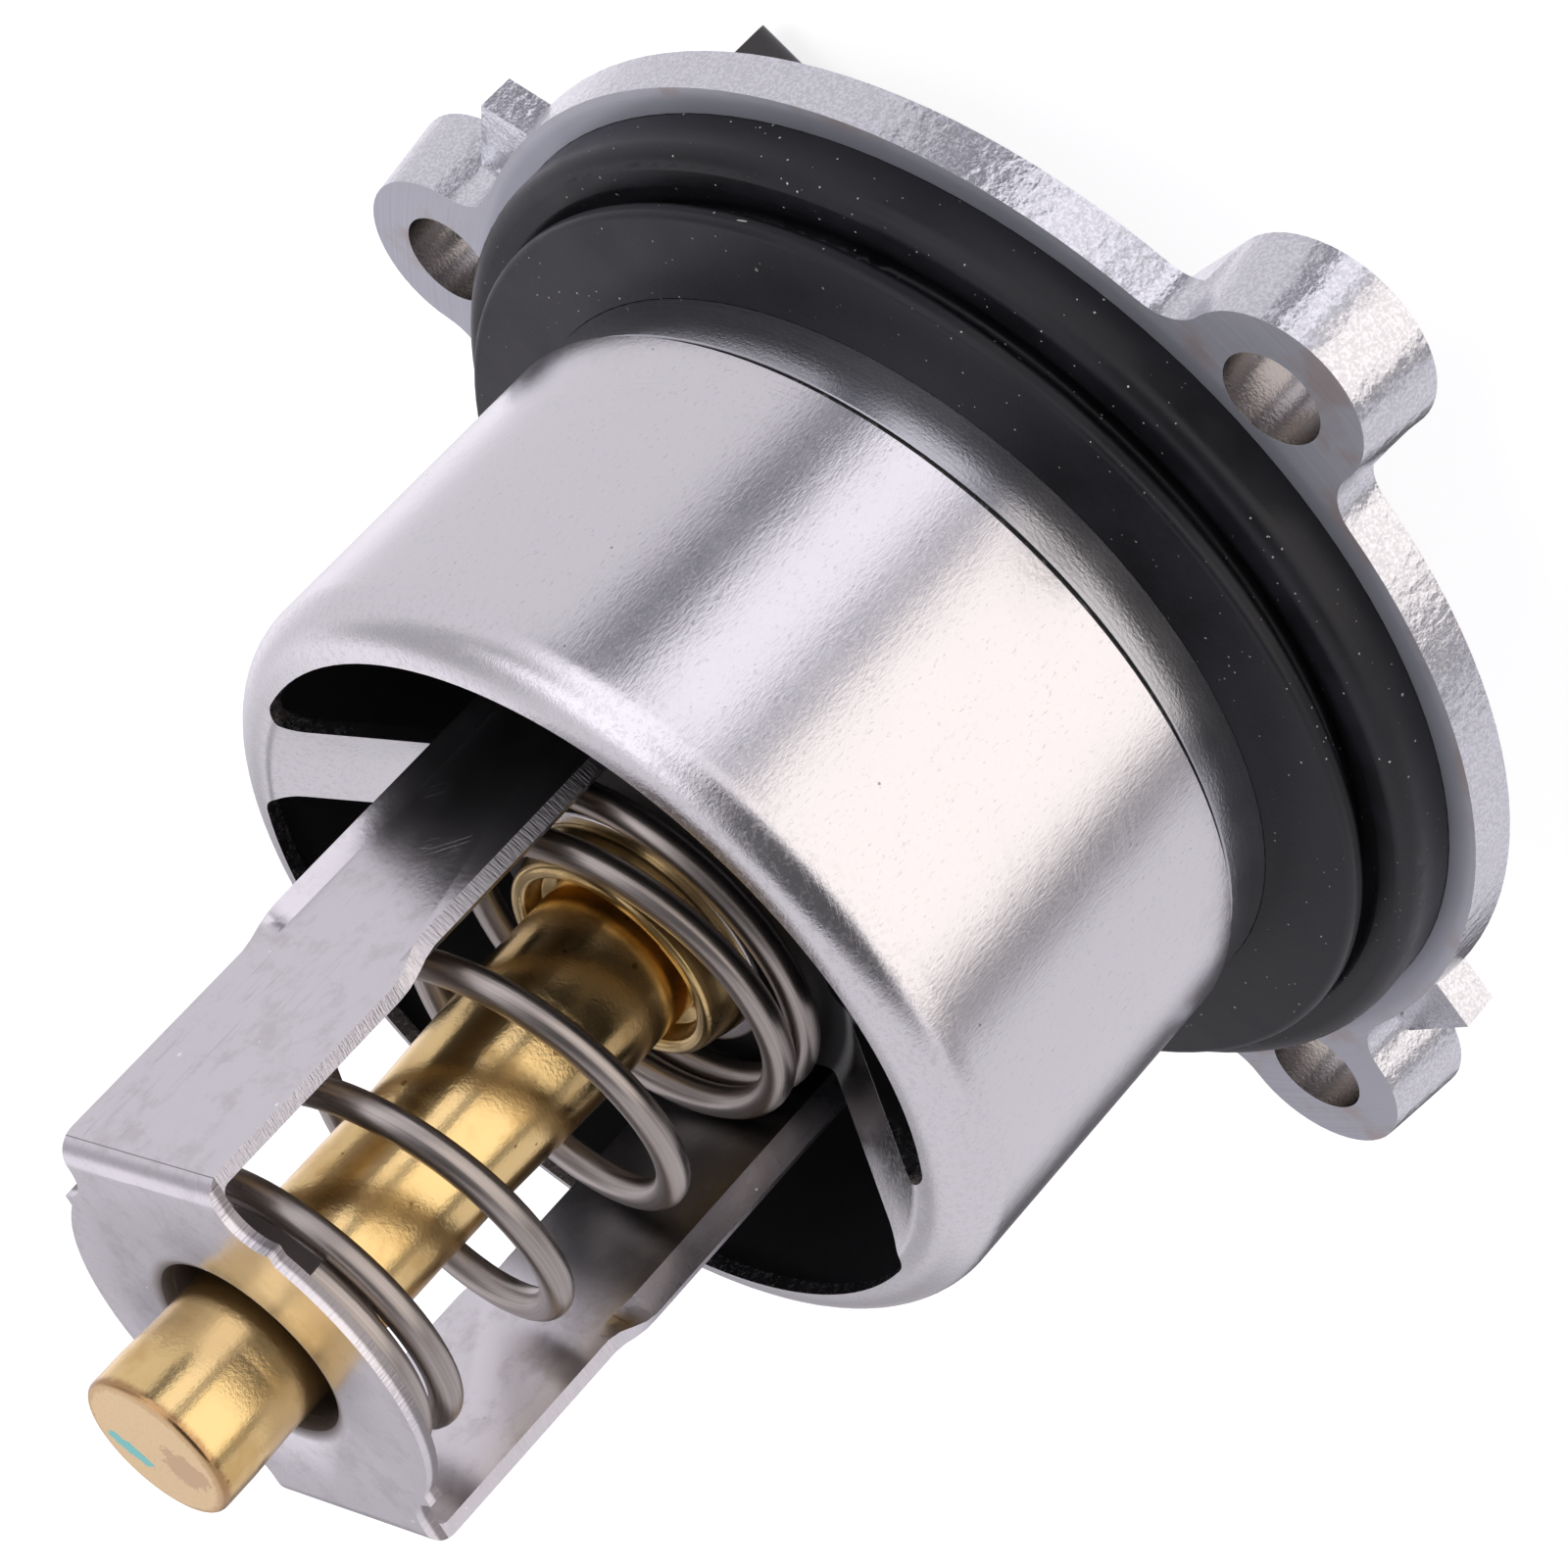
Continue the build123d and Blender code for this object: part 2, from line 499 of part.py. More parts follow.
def spring_path():
    """Centre line of the return spring, from the stirrup end to the hub end."""
    top = STIRRUP_TOP - STIRRUP_SHEET - SEAT_PLAY - WIRE_DIAMETER / 2
    bottom = HUB_SEAT_HEIGHT + SEAT_PLAY + WIRE_DIAMETER / 2
    closed_pitch = WIRE_DIAMETER + SPRING_CLOSED_PITCH_GAP
    ramp_pitch = (closed_pitch + SPRING_PITCH) / 2
    spent = closed_pitch * (SMALL_CLOSED_TURNS + LARGE_CLOSED_TURNS)
    spent += ramp_pitch * (SMALL_RAMP_TURNS + LARGE_RAMP_TURNS)
    active = (top - bottom - spent) / SPRING_PITCH
    spans = [
        (SMALL_CLOSED_TURNS, closed_pitch, closed_pitch), (SMALL_RAMP_TURNS, closed_pitch, SPRING_PITCH),
        (active, SPRING_PITCH, SPRING_PITCH), (LARGE_RAMP_TURNS, SPRING_PITCH, closed_pitch),
        (LARGE_CLOSED_TURNS, closed_pitch, closed_pitch),
    ]
    total = sum(turns for turns, start, end in spans)
    cone_start = SMALL_CLOSED_TURNS
    cone_end = total - LARGE_CLOSED_TURNS
    count = round(total * SPRING_POINTS_PER_TURN)
    points = []
    for index in range(count + 1):
        turns = total * index / count
        height = top
        left = turns
        for span, start, end in spans:
            part = min(left, span)
            height -= part * start + (end - start) * part * part / (2 * span)
            left -= part
        share = min(max((turns - cone_start) / (cone_end - cone_start), 0), 1)
        radius = SPRING_SMALL_RADIUS + (SPRING_LARGE_RADIUS - SPRING_SMALL_RADIUS) * share
        angle = math.radians(SPRING_START_AZIMUTH - 360 * turns)
        points.append((radius * math.cos(angle), radius * math.sin(angle), height))
    return Spline(*points)


def make_spring():
    """Conical return spring of round wire with closed ends."""
    path = spring_path()
    section = Plane(origin=path @ 0, z_dir=path % 0) * Circle(WIRE_DIAMETER / 2)
    return sweep(section, path=path, is_frenet=True)


def make_element_collar():
    """Brass collar crimped round the wax element's flange and pressed into the hub."""
    bore = ELEMENT_ROOT_RADIUS + NEST_GAP
    neck = HUB_BORE - NEST_GAP
    skirt = ELEMENT_FLANGE_RADIUS + NEST_GAP
    lip_top = GUIDE_FLANGE_BOTTOM - NEST_GAP
    mouth_floor = COLLAR_FRONT_HEIGHT - COLLAR_MOUTH_DEPTH
    front_round = 0.45 * (COLLAR_FRONT_RADIUS - COLLAR_MOUTH_RADIUS)
    neck_top = HUB_SEAT_HEIGHT + HUB_COLLAR_HEIGHT + COLLAR_NECK_RISE
    return turned(
        [(bore, ELEMENT_FLANGE_TOP + NEST_GAP), (skirt, ELEMENT_FLANGE_TOP + NEST_GAP), (skirt, lip_top),
         (CRIMP_LIP_RADIUS, lip_top), (CRIMP_LIP_RADIUS, lip_top - CRIMP_LIP_SHEET),
         (COLLAR_FLANGE_RADIUS, lip_top - CRIMP_LIP_SHEET), (COLLAR_FLANGE_RADIUS, COLLAR_FLANGE_TOP),
         (neck, COLLAR_FLANGE_TOP), (neck, neck_top), (COLLAR_FRONT_RADIUS, COLLAR_FRONT_HEIGHT),
         (COLLAR_MOUTH_RADIUS, COLLAR_FRONT_HEIGHT), (COLLAR_MOUTH_RADIUS - FINE_ROUND, mouth_floor),
         (bore, mouth_floor - COLLAR_MOUTH_SLOPE)],
        [0, 0, 0, 0, EDGE_ROUND, SOFT_ROUND, EDGE_ROUND, 0, LARGE_ROUND,
         front_round, front_round, FINE_ROUND, 0],
    )


def make_element_body():
    """Drawn brass cup that holds the wax, with a flange at its open end and a slight taper."""
    top = ELEMENT_FLANGE_TOP
    low = top - ELEMENT_FLANGE_SHEET
    band = ELEMENT_END - ELEMENT_END_BAND
    crown = ELEMENT_END - ELEMENT_END_CROWN
    floor = ELEMENT_END - ELEMENT_END_WALL
    taper = ELEMENT_STEP_LENGTH
    return turned(
        [(ELEMENT_BORE_RADIUS, low), (ELEMENT_FLANGE_RADIUS, low), (ELEMENT_FLANGE_RADIUS, top),
         (ELEMENT_ROOT_RADIUS, top), (ELEMENT_ROOT_RADIUS, ELEMENT_STEP_HEIGHT - taper),
         (ELEMENT_RADIUS, ELEMENT_STEP_HEIGHT + taper), (ELEMENT_RADIUS, band - ELEMENT_END_BAND),
         (ELEMENT_END_RADIUS, band), (ELEMENT_END_RADIUS, crown), (0, ELEMENT_END),
         (0, floor), (ELEMENT_BORE_RADIUS, floor)],
        [0, FINE_ROUND, FINE_ROUND, 0, taper, taper, ELEMENT_END_BAND, ELEMENT_END_BAND / 2,
         SOFT_ROUND, 0, 0, 0],
    )


def make_element_guide():
    """Turned brass guide that runs on the fixed pin."""
    bore = PIN_RADIUS + RUNNING_FIT
    return turned(
        [(bore, GUIDE_NOSE_END), (GUIDE_NOSE_RADIUS, GUIDE_NOSE_END), (GUIDE_NOSE_RADIUS, GUIDE_FLANGE_BOTTOM),
         (ELEMENT_FLANGE_RADIUS, GUIDE_FLANGE_BOTTOM), (ELEMENT_FLANGE_RADIUS, GUIDE_FLANGE_TOP),
         (bore, GUIDE_FLANGE_TOP)],
        [0, LARGE_ROUND, SOFT_ROUND, 0, 0, 0],
    )


def make_washer():
    """Plastic washer that keeps the rubber boot out of the guide's bore."""
    low = GUIDE_FLANGE_TOP + NEST_GAP
    return ring(ELEMENT_BORE_RADIUS - NEST_GAP, PIN_RADIUS + RUNNING_FIT, low, low + WASHER_SHEET)


def boot_low():
    return GUIDE_FLANGE_TOP + 2 * NEST_GAP + WASHER_SHEET


def make_squeeze_boot():
    """Rubber boot round the pin, closed at its end, that the melting wax squeezes."""
    low = boot_low()
    bore = PIN_RADIUS + RUNNING_FIT
    outer = ELEMENT_BORE_RADIUS - NEST_GAP
    return turned(
        [(bore, low), (outer, low), (outer, low + BOOT_FLANGE_SHEET), (BOOT_RADIUS, low + BOOT_FLANGE_SHEET),
         (BOOT_RADIUS, BOOT_TOP), (0, BOOT_TOP), (0, BOOT_TIP), (bore, BOOT_TIP)],
        [0, 0, 0, 0, SOFT_ROUND, 0, 0, 0],
    )


def make_wax_charge():
    """Wax filling between the boot and the cup."""
    low = boot_low() + BOOT_FLANGE_SHEET + NEST_GAP
    outer = ELEMENT_BORE_RADIUS - NEST_GAP
    inner = BOOT_RADIUS + NEST_GAP
    top = ELEMENT_END - ELEMENT_END_WALL - NEST_GAP
    over = BOOT_TOP + NEST_GAP
    return turned([(inner, low), (outer, low), (outer, top), (0, top), (0, over), (inner, over)])


def make_heater_pin():
    """Steel tube, closed at its end, on which the wax element slides."""
    bore = PIN_RADIUS - PIN_WALL
    return turned(
        [(bore, PIN_BOTTOM), (PIN_RADIUS, PIN_BOTTOM), (PIN_RADIUS, PIN_END), (0, PIN_END),
         (0, PIN_END - PIN_WALL), (bore, PIN_END - PIN_WALL)],
        [0, 0, LARGE_ROUND, 0, 0, 0],
    )


def heater_span():
    """Lower and upper height of the heating resistor inside the pin."""
    top = PIN_END - PIN_WALL - NEST_GAP
    return top - HEATER_LENGTH, top


def make_heating_resistor():
    low, high = heater_span()
    return disc(PIN_RADIUS - PIN_WALL - HEATER_GAP, low, high - HEATER_END_GAP)


def make_lead(side):
    """Wire from a terminal up through the pin to the resistor."""
    low = TERMINAL_TOP + NEST_GAP
    wire = Pos(0, side * LEAD_OFFSET) * disc(LEAD_RADIUS, low, heater_span()[0] - NEST_GAP)
    return turn_to(CONNECTOR_AZIMUTH, wire)


def terminal_blank(side, grow):
    """Flat terminal blade along the connector arm, grown by a gap where it cuts its own slot."""
    middle = side * TERMINAL_SPACING / 2
    half = TERMINAL_WIDTH / 2
    low, high = sorted((side * (LEAD_OFFSET - LEAD_RADIUS), middle + side * half))
    bottom = TERMINAL_TOP - TERMINAL_SHEET
    tip = CONNECTOR_REACH - TERMINAL_TIP_SETBACK
    blade = block(-half - grow, tip + grow, middle - half - grow, middle + half + grow,
                  bottom - grow, TERMINAL_TOP + grow)
    tab = block(-half - grow, half + grow, low - grow, high + grow, bottom - grow, TERMINAL_TOP + grow)
    return blade + tab


def make_terminal(side):
    return turn_to(CONNECTOR_AZIMUTH, terminal_blank(side, 0))


def make_connector_housing():
    """Moulded plug and connector: cap over the outer boss, arm with a socket, and a snap ramp."""
    housing = turned(
        [(0, CAP_BOTTOM), (CAP_RADIUS, CAP_BOTTOM), (CAP_RADIUS, PLUG_FACE), (PLUG_RADIUS - NEST_GAP, PLUG_FACE),
         (PLUG_RADIUS - NEST_GAP, PLUG_SEAT), (0, PLUG_SEAT)],
        [0, CAP_EDGE, EDGE_ROUND, 0, EDGE_ROUND, 0],
    )
    arm_start = OUTER_BOSS_RADIUS + CONNECTOR_ARM_GAP
    half = CONNECTOR_HALF_WIDTH
    bottom = CONNECTOR_BOTTOM
    arm = block(0, CONNECTOR_REACH, -half, half, bottom, CONNECTOR_TOP)
    arm = fillet(arm.edges().filter_by(Axis.X), CONNECTOR_CORNER)
    arm -= block(-CUT_OVER, arm_start, -half - CUT_OVER, half + CUT_OVER, PLUG_FACE, CONNECTOR_TOP + CUT_OVER)
    housing += arm
    wall = CONNECTOR_WALL
    socket = block(CONNECTOR_REACH - SOCKET_DEPTH, CONNECTOR_REACH + CUT_OVER, -half + wall, half - wall,
                   bottom + wall, CONNECTOR_TOP - wall)
    housing -= fillet(socket.edges().filter_by(Axis.X), CONNECTOR_CORNER - CONNECTOR_WALL / 2)
    ramp_end = CONNECTOR_REACH - LATCH_SETBACK
    ramp = Polyline(
        (ramp_end - LATCH_LENGTH, 0, bottom + LATCH_ROOT), (ramp_end, 0, bottom + LATCH_ROOT),
        (ramp_end, 0, bottom - LATCH_ROOT), (ramp_end - LATCH_LENGTH, 0, bottom - LATCH_HEIGHT),
        close=True,
    )
    housing += extrude(make_face(ramp), LATCH_WIDTH / 2, both=True)
    groove_half = O_RING_SECTION + O_RING_SIDE_GAP
    housing -= ring(PLUG_RADIUS + CUT_OVER, PLUG_RADIUS - 2 * O_RING_SECTION - NEST_GAP,
                    O_RING_HEIGHT - groove_half, O_RING_HEIGHT + groove_half)
    housing -= ring(PLUG_RADIUS + CUT_OVER, CLIP_NECK_RADIUS, CLIP_HEIGHT - CLIP_SHEET / 2 - NEST_GAP,
                    CLIP_HEIGHT + CLIP_SHEET / 2 + NEST_GAP)
    housing -= disc(PIN_RADIUS + NEST_GAP, PIN_BOTTOM - NEST_GAP, PLUG_SEAT + CUT_OVER)
    for side in (-1, 1):
        housing -= terminal_blank(side, NEST_GAP)
        housing -= Pos(0, side * LEAD_OFFSET) * disc(LEAD_RADIUS + NEST_GAP, TERMINAL_TOP, PIN_BOTTOM)
    return turn_to(CONNECTOR_AZIMUTH, housing)


def make_plug_seal():
    """Round-section ring in the plug's groove."""
    return Pos(0, 0, O_RING_HEIGHT) * Torus(PLUG_RADIUS - NEST_GAP - O_RING_SECTION, O_RING_SECTION)


def make_retaining_clip():
    """Flat fork pushed through the boss into the plug's groove."""
    start = -OUTER_BOSS_RADIUS - CONNECTOR_ARM_GAP - CLIP_BRIDGE
    inner = CLIP_NECK_RADIUS + NEST_GAP
    outline = Pos((start + CLIP_REACH) / 2, 0) * Rectangle(CLIP_REACH - start, 2 * CLIP_HALF_WIDTH)
    outline = fillet(outline.vertices(), CLIP_CORNER)
    slot_start = start + CLIP_BRIDGE
    slot_end = CLIP_REACH + CUT_OVER
    outline -= Pos((slot_start + slot_end) / 2, 0) * Rectangle(slot_end - slot_start, 2 * inner)
    plate = extrude(Plane.XY.offset(CLIP_HEIGHT - CLIP_SHEET / 2) * outline, CLIP_SHEET)
    return turn_to(CONNECTOR_AZIMUTH, plate)


PIECES = {
    "cover": make_cover,
    "flange_seal": make_flange_seal,
    "seat_seal": make_seat_seal,
    "stirrup": make_stirrup,
    "return_spring": make_spring,
    "sleeve": make_sleeve,
    "element_collar": make_element_collar,
    "element_body": make_element_body,
    "element_guide": make_element_guide,
    "guide_washer": make_washer,
    "squeeze_boot": make_squeeze_boot,
    "wax_charge": make_wax_charge,
    "heater_pin": make_heater_pin,
    "heating_resistor": make_heating_resistor,
    "lead_wire_left": lambda: make_lead(-1),
    "lead_wire_right": lambda: make_lead(1),
    "terminal_left": lambda: make_terminal(-1),
    "terminal_right": lambda: make_terminal(1),
    "connector_housing": make_connector_housing,
    "plug_seal": make_plug_seal,
    "retaining_clip": make_retaining_clip,
}

for name, make in PIECES.items():
    export_step(make(), f"parts/{name}.step")
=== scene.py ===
import bmesh
import bpy
import json
import math
from mathutils import Matrix, Vector

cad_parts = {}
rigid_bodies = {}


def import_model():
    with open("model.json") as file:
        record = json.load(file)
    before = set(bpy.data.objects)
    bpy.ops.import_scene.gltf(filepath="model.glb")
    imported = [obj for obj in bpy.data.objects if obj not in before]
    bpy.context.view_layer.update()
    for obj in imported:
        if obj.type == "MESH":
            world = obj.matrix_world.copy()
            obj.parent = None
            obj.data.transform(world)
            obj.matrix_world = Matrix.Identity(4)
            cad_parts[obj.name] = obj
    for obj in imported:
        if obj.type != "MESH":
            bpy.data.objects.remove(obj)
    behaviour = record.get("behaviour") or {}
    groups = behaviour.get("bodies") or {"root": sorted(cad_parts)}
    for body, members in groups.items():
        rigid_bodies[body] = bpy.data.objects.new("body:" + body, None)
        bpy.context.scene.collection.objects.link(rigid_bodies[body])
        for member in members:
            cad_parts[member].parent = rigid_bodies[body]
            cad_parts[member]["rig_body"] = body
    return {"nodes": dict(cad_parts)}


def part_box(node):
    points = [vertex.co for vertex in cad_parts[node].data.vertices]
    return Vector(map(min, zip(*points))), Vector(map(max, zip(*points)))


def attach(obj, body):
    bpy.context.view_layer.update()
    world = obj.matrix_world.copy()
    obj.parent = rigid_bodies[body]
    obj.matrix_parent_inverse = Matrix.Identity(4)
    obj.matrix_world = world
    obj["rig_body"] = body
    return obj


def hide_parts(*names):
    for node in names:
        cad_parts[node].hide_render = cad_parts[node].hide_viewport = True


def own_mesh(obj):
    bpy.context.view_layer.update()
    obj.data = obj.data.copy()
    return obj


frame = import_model()

bl_info = {
    "name": "Engine thermostat",
    "version": (1, 0, 0),
    "blender": (4, 5, 0),
    "location": "3D View > Sidebar > Thermostat",
    "description": "Finishes and detailed pieces for a sleeve-valve engine thermostat on its fixed frame",
    "category": "Object",
}

# Places and sizes read from the frame, in metres

SLEEVE_LOW, SLEEVE_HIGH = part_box("sleeve")
STIRRUP_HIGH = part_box("stirrup")[1]
SPRING_LOW, SPRING_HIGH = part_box("return_spring")
ELEMENT_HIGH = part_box("element_body")[1]
SEAL_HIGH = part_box("flange_seal")[1]
SEAT_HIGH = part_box("seat_seal")[1]
COLLAR_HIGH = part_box("element_collar")[1]

# Sleeve: just inside its wall, its foot and rubbed crest, and the border, depth and turned rim of its hub;
# all but the crest bound the painted black shade

SLEEVE_WALL = SLEEVE_HIGH.x - 0.0022
SLEEVE_FOOT = 0.0002
CREST = (SLEEVE_HIGH.z - 0.0050, SLEEVE_HIGH.z - 0.0020)
HUB_EDGE = (0.0152, 0.0138)
HUB_DEPTH = 0.0022
HUB_RIM = 0.0092
HUB_RIM_DROP = 0.0034

# Cover: heights just under the flange's face and at the spigot's foot, middles of the bolt holes, a radius
# just outside their walls, and the ring inside the flange's rim

FLANGE_LEVEL = -0.0002
SPIGOT_LEVEL = SEAL_HIGH.z * 0.5
BOLT_HOLES = ((-0.033522, -0.022188), (-0.003713, 0.040028), (0.039892, -0.004969))
BOLT_HOLE_REACH = 0.0037
FLANGE_RIM = (0.0378, 0.0370)

# Seat seal: radius of its rubbed lip, and how far from it the rubbing starts and is full

SEAT_LIP = SEAT_HIGH.x - 0.0003
LIP_FADE = (0.0007, 0.0001)

# Stirrup: its sheet and hole, the mouth round the hole where shade is painted, and where its edges and legs
# change their tone with painted shade

SHEET = 0.0010
HOLE_RADIUS = 0.0063
MOUTH_SHADE = (HOLE_RADIUS + 0.0011, HOLE_RADIUS + 0.0001)
MOUTH_SHADE_DEPTH = 0.006
DISC_INSIDE = 0.0085
TORN_AND_SHADED_HALF = (0.00035, 0.00060)
EDGE_SHADE = (0.040, 0.052)
LEG_SHADE = (0.0460, 0.0500)

# Section of the stirrup's collar: step out from the hole's radius, and drop below the disc's top

COLLAR_SECTION = (
    (-0.00004, 0.0011), (-0.00010, 0.0026), (-0.00022, 0.0047), (-0.00005, 0.0049), (0.00020, 0.0049),
    (0.00034, 0.0047), (0.00050, 0.0011),
)
COLLAR_SIDES = 96
COLLAR_SKIN = 0.00012

# Wax element: its brown edge, the level and rim of its end, the end's browner border, and its brown patch

BROWN_EDGE = (ELEMENT_HIGH.z - 0.0010, ELEMENT_HIGH.z - 0.0005)
END_LEVEL = ELEMENT_HIGH.z - 0.0008
ELEMENT_RIM = 0.0044
BROWN_BORDER = (ELEMENT_RIM, ELEMENT_RIM + 0.0004)
BLOTCH_PLACE = (0.0016, 0.0018)
BLOTCH_REACH = (0.0017, 0.0015)

# Names of socket kinds, and the smallest radius that a place is divided by

FLOAT, VECTOR = "NodeSocketFloat", "NodeSocketVector"
SMALLEST_RADIUS = 0.00001

# Limits for welding points, for joining flat faces and for rounding edges, and the steps of a rounded edge

WELD_DISTANCE = 0.000001
FLAT_ANGLE = math.radians(0.05)
SHARP_ANGLE = math.radians(28)
EDGE_STEPS = 2

# Scale of the wire's length in its grain, where half the wire's thickness counts as 1

WIRE_GRAIN = 100.0

# Point that the lamp faces, and the camera's sensor and near limit

LAMP_AIM = (0, 0, 0.035)
SENSOR_WIDTH = 36
NEAR_LIMIT = 0.01

# Soft boxes and dark cards around the object, each laid over those before it: middle azimuth, half width,
# lower and upper elevation and softness in degrees, then brightness and colour

SOFT_WARM = (1.0, 0.93, 0.91)
SOFT_COOL = (1.0, 0.96, 1.04)
SOFT_BLUE = (0.92, 0.92, 1.12)
CARDS = {
    "end face": (-88, 36, 14, 48, 14, 0.64, SOFT_COOL),
    "left face": (-112, 12, 12, 40, 8, 0.95, SOFT_COOL),
    "left side": (-104, 12, -90, -4, 9, 1.08, SOFT_COOL),
    "grey front": (-162, 42, 24, 58, 7, 0.46, SOFT_COOL),
    "warm box": (73, 34, -90, 20, 3, 1.34, SOFT_WARM),
    "cool box": (132, 14, -90, 12, 4, 1.18, SOFT_COOL),
    "cool crest": (142, 21, 4, 44, 5, 1.30, SOFT_COOL),
    "crest box": (162, 29, 40, 76, 7, 1.36, SOFT_COOL),
    "camera": (76, 41, 24, 84, 6, 0.10, SOFT_COOL),
    "narrow card": (31, 7, -90, 8, 3, 0.26, SOFT_COOL),
    "blue card": (153, 7.5, -90, -2, 3, 0.18, SOFT_BLUE),
    "thin gap": (112.5, 3.8, -90, 4, 2.5, 0.28, SOFT_BLUE),
    "ears left": (-96, 17, 25, 45, 3, 1.05, SOFT_COOL),
    "ears right": (-66, 11, 25, 45, 3, 0.36, SOFT_COOL),
    "dark stand": (-54, 12, -90, -16, 6, 0.09, SOFT_COOL),
    "low front": (-66, 22, -14, 14, 6, 0.40, SOFT_COOL),
}

# Settings


def number(label, text, default, **more):
    return bpy.props.FloatProperty(name=label, description=text, default=default, **more)


def length(label, text, default):
    """A size in metres."""
    return number(label, text, default, subtype="DISTANCE", unit="LENGTH", precision=5)


def angle(label, text, degrees):
    return number(label, text, math.radians(degrees), subtype="ANGLE")


def colour(label, text, default):
    """A base colour."""
    return bpy.props.FloatVectorProperty(
        name=label, description=text, default=default, size=3, min=0, max=1, subtype="COLOR"
    )


def flat_vector(label, text, default):
    """Two lengths on the wax element's end."""
    return bpy.props.FloatVectorProperty(
        name=label, description=text, default=default, size=2, unit="LENGTH", precision=5
    )


class FinishColours(bpy.types.PropertyGroup):
    """Base colours of the finishes"""

    aluminium: colour("Drawn aluminium", "Colour of the sleeve", (0.76, 0.75, 0.76))
    casting: colour("Cast aluminium", "Colour of the cover", (0.80, 0.81, 0.84))
    steel: colour("Pressed steel", "Colour of the stirrup", (0.74, 0.72, 0.74))
    wire: colour("Spring wire", "Colour of the return spring", (0.42, 0.38, 0.35))
    brass: colour("Brass", "Colour of the wax element", (0.87, 0.64, 0.29))
    copper: colour("Copper", "Colour of the lead wires", (0.60, 0.30, 0.16))
    rubber: colour("Rubber", "Colour of the seals and the boot", (0.006, 0.0062, 0.0080))
    plastic: colour("Plastic", "Colour of the connector", (0.018, 0.018, 0.020))
    paint: colour("Paint mark", "Colour of the dab on the wax element", (0.20, 0.56, 0.53))
    dull_end: colour("Dull end", "Colour of the wax element's etched end", (0.88, 0.66, 0.38))
    mark_place: flat_vector("Mark place", "Middle of the paint mark", (-0.0004, -0.0025))
    mark_size: flat_vector("Mark size", "Half length and half width of the paint mark", (0.0019, 0.00072))
    mark_turn: angle("Mark turn", "Azimuth of the mark's length", 30)


class SpringSizes(bpy.types.PropertyGroup):
    """Sizes of the return spring"""

    wire_radius: length("Wire radius", "Half the wire's thickness", 0.001)
    small_radius: length("Small radius", "Coil radius under the stirrup's disc", 0.0101)
    large_radius: length("Large radius", "Coil radius on the sleeve's hub", 0.0122)
    pitch: length("Pitch", "Rise of an open turn", 0.00995)
    closed_gap: length("Closed gap", "Gap between closed turns", 0.00012)
    small_closed: number("Small closed turns", "Closed turns at the disc", 0.95)
    small_ramp: number("Small ramp turns", "Turns that open at the disc", 0.6)
    large_ramp: number("Large ramp turns", "Turns that close at the hub", 0.35)
    large_closed: number("Large closed turns", "Closed turns on the hub", 1.2)
    start: angle("Start", "Azimuth of the wire's upper end", 105)
    sides: bpy.props.IntProperty(name="Sides", description="Corners of the wire's section", default=28, min=8)
    steps: bpy.props.IntProperty(name="Steps", description="Points in each turn", default=72, min=12)


class EdgeSizes(bpy.types.PropertyGroup):
    """Rounds along the edges of cast, pressed and moulded pieces"""

    cover: length("Cover edge", "Round along the casting's edges", 0.00035)
    stirrup: length("Stirrup edge", "Round along the sheared sheet's edges", 0.00014)
    sleeve: length("Sleeve edge", "Round along the sleeve's openings and rim", 0.00012)
    housing: length("Connector edge", "Round along the moulding's edges", 0.0003)
    clip: length("Clip edge", "Round along the retaining clip's edges", 0.0001)
    stirrup_azimuth: angle("Stirrup azimuth", "Direction of the stirrup's first leg", 157.5)


class StageSettings(bpy.types.PropertyGroup):
    """Camera, lamp, surroundings and floor"""

    camera_place: bpy.props.FloatVectorProperty(
        name="Camera place", description="Where the camera stands", default=(-0.07404, 0.30979, 0.17935),
        subtype="TRANSLATION", unit="LENGTH",
    )
    camera_aim: bpy.props.FloatVectorProperty(
        name="Camera aim", description="Direction in which the camera looks",
        default=(0.21297, -0.85641, -0.47032), subtype="XYZ",
    )
    camera_roll: angle("Camera roll", "Turn of the camera about its line of sight", -137.35)
    lens: number("Lens", "Focal length in millimetres", 136.485)
    shift_x: number("Shift across", "Sideways shift of the frame", -0.07301)
    shift_y: number("Shift up", "Upward shift of the frame", -0.04079)
    surroundings: number("Surroundings", "Brightness between the soft boxes and cards", 0.76, min=0)
    lamp_direction: bpy.props.FloatVectorProperty(
        name="Lamp direction", description="Direction in which the lamp lies", default=(-0.5, 0.5, 1.0),
        subtype="XYZ",
    )
    lamp_distance: length("Lamp distance", "Gap between the lamp and the point it faces", 0.8)
    lamp_size: length("Lamp size", "Width of the lamp", 0.45)
    lamp_power: number("Lamp power", "Power of the lamp", 2.2, min=0, unit="POWER")
    floor_drop: length("Floor drop", "Gap between the floor and the lowest piece", 0.0004)
    floor_size: length("Floor size", "Width of the floor", 6.0)
    floor_tone: number("Floor tone", "Paleness of the floor's own colour", 0.45, min=0, max=1)
    floor_glow: number("Floor glow", "Brightness that the floor adds for the camera", 0.80, min=0)


# Node helpers


def add_node(tree, kind, inputs=None, **settings):
    """A node with its settings, its values and its links."""
    made = tree.nodes.new(kind)
    for key, value in settings.items():
        setattr(made, key, value)
    set_inputs(tree, made, inputs or {})
    return made


def set_inputs(tree, node, inputs):
    """Give each named input of a node its value or its link."""
    for key, value in inputs.items():
        if isinstance(value, bpy.types.NodeSocket):
            tree.links.new(value, node.inputs[key])
        else:
            node.inputs[key].default_value = value


def maths(tree, operation, first, second=None, clamp=False):
    inputs = {0: first}
    if second is not None:
        inputs[1] = second
    return add_node(tree, "ShaderNodeMath", inputs, operation=operation, use_clamp=clamp).outputs[0]


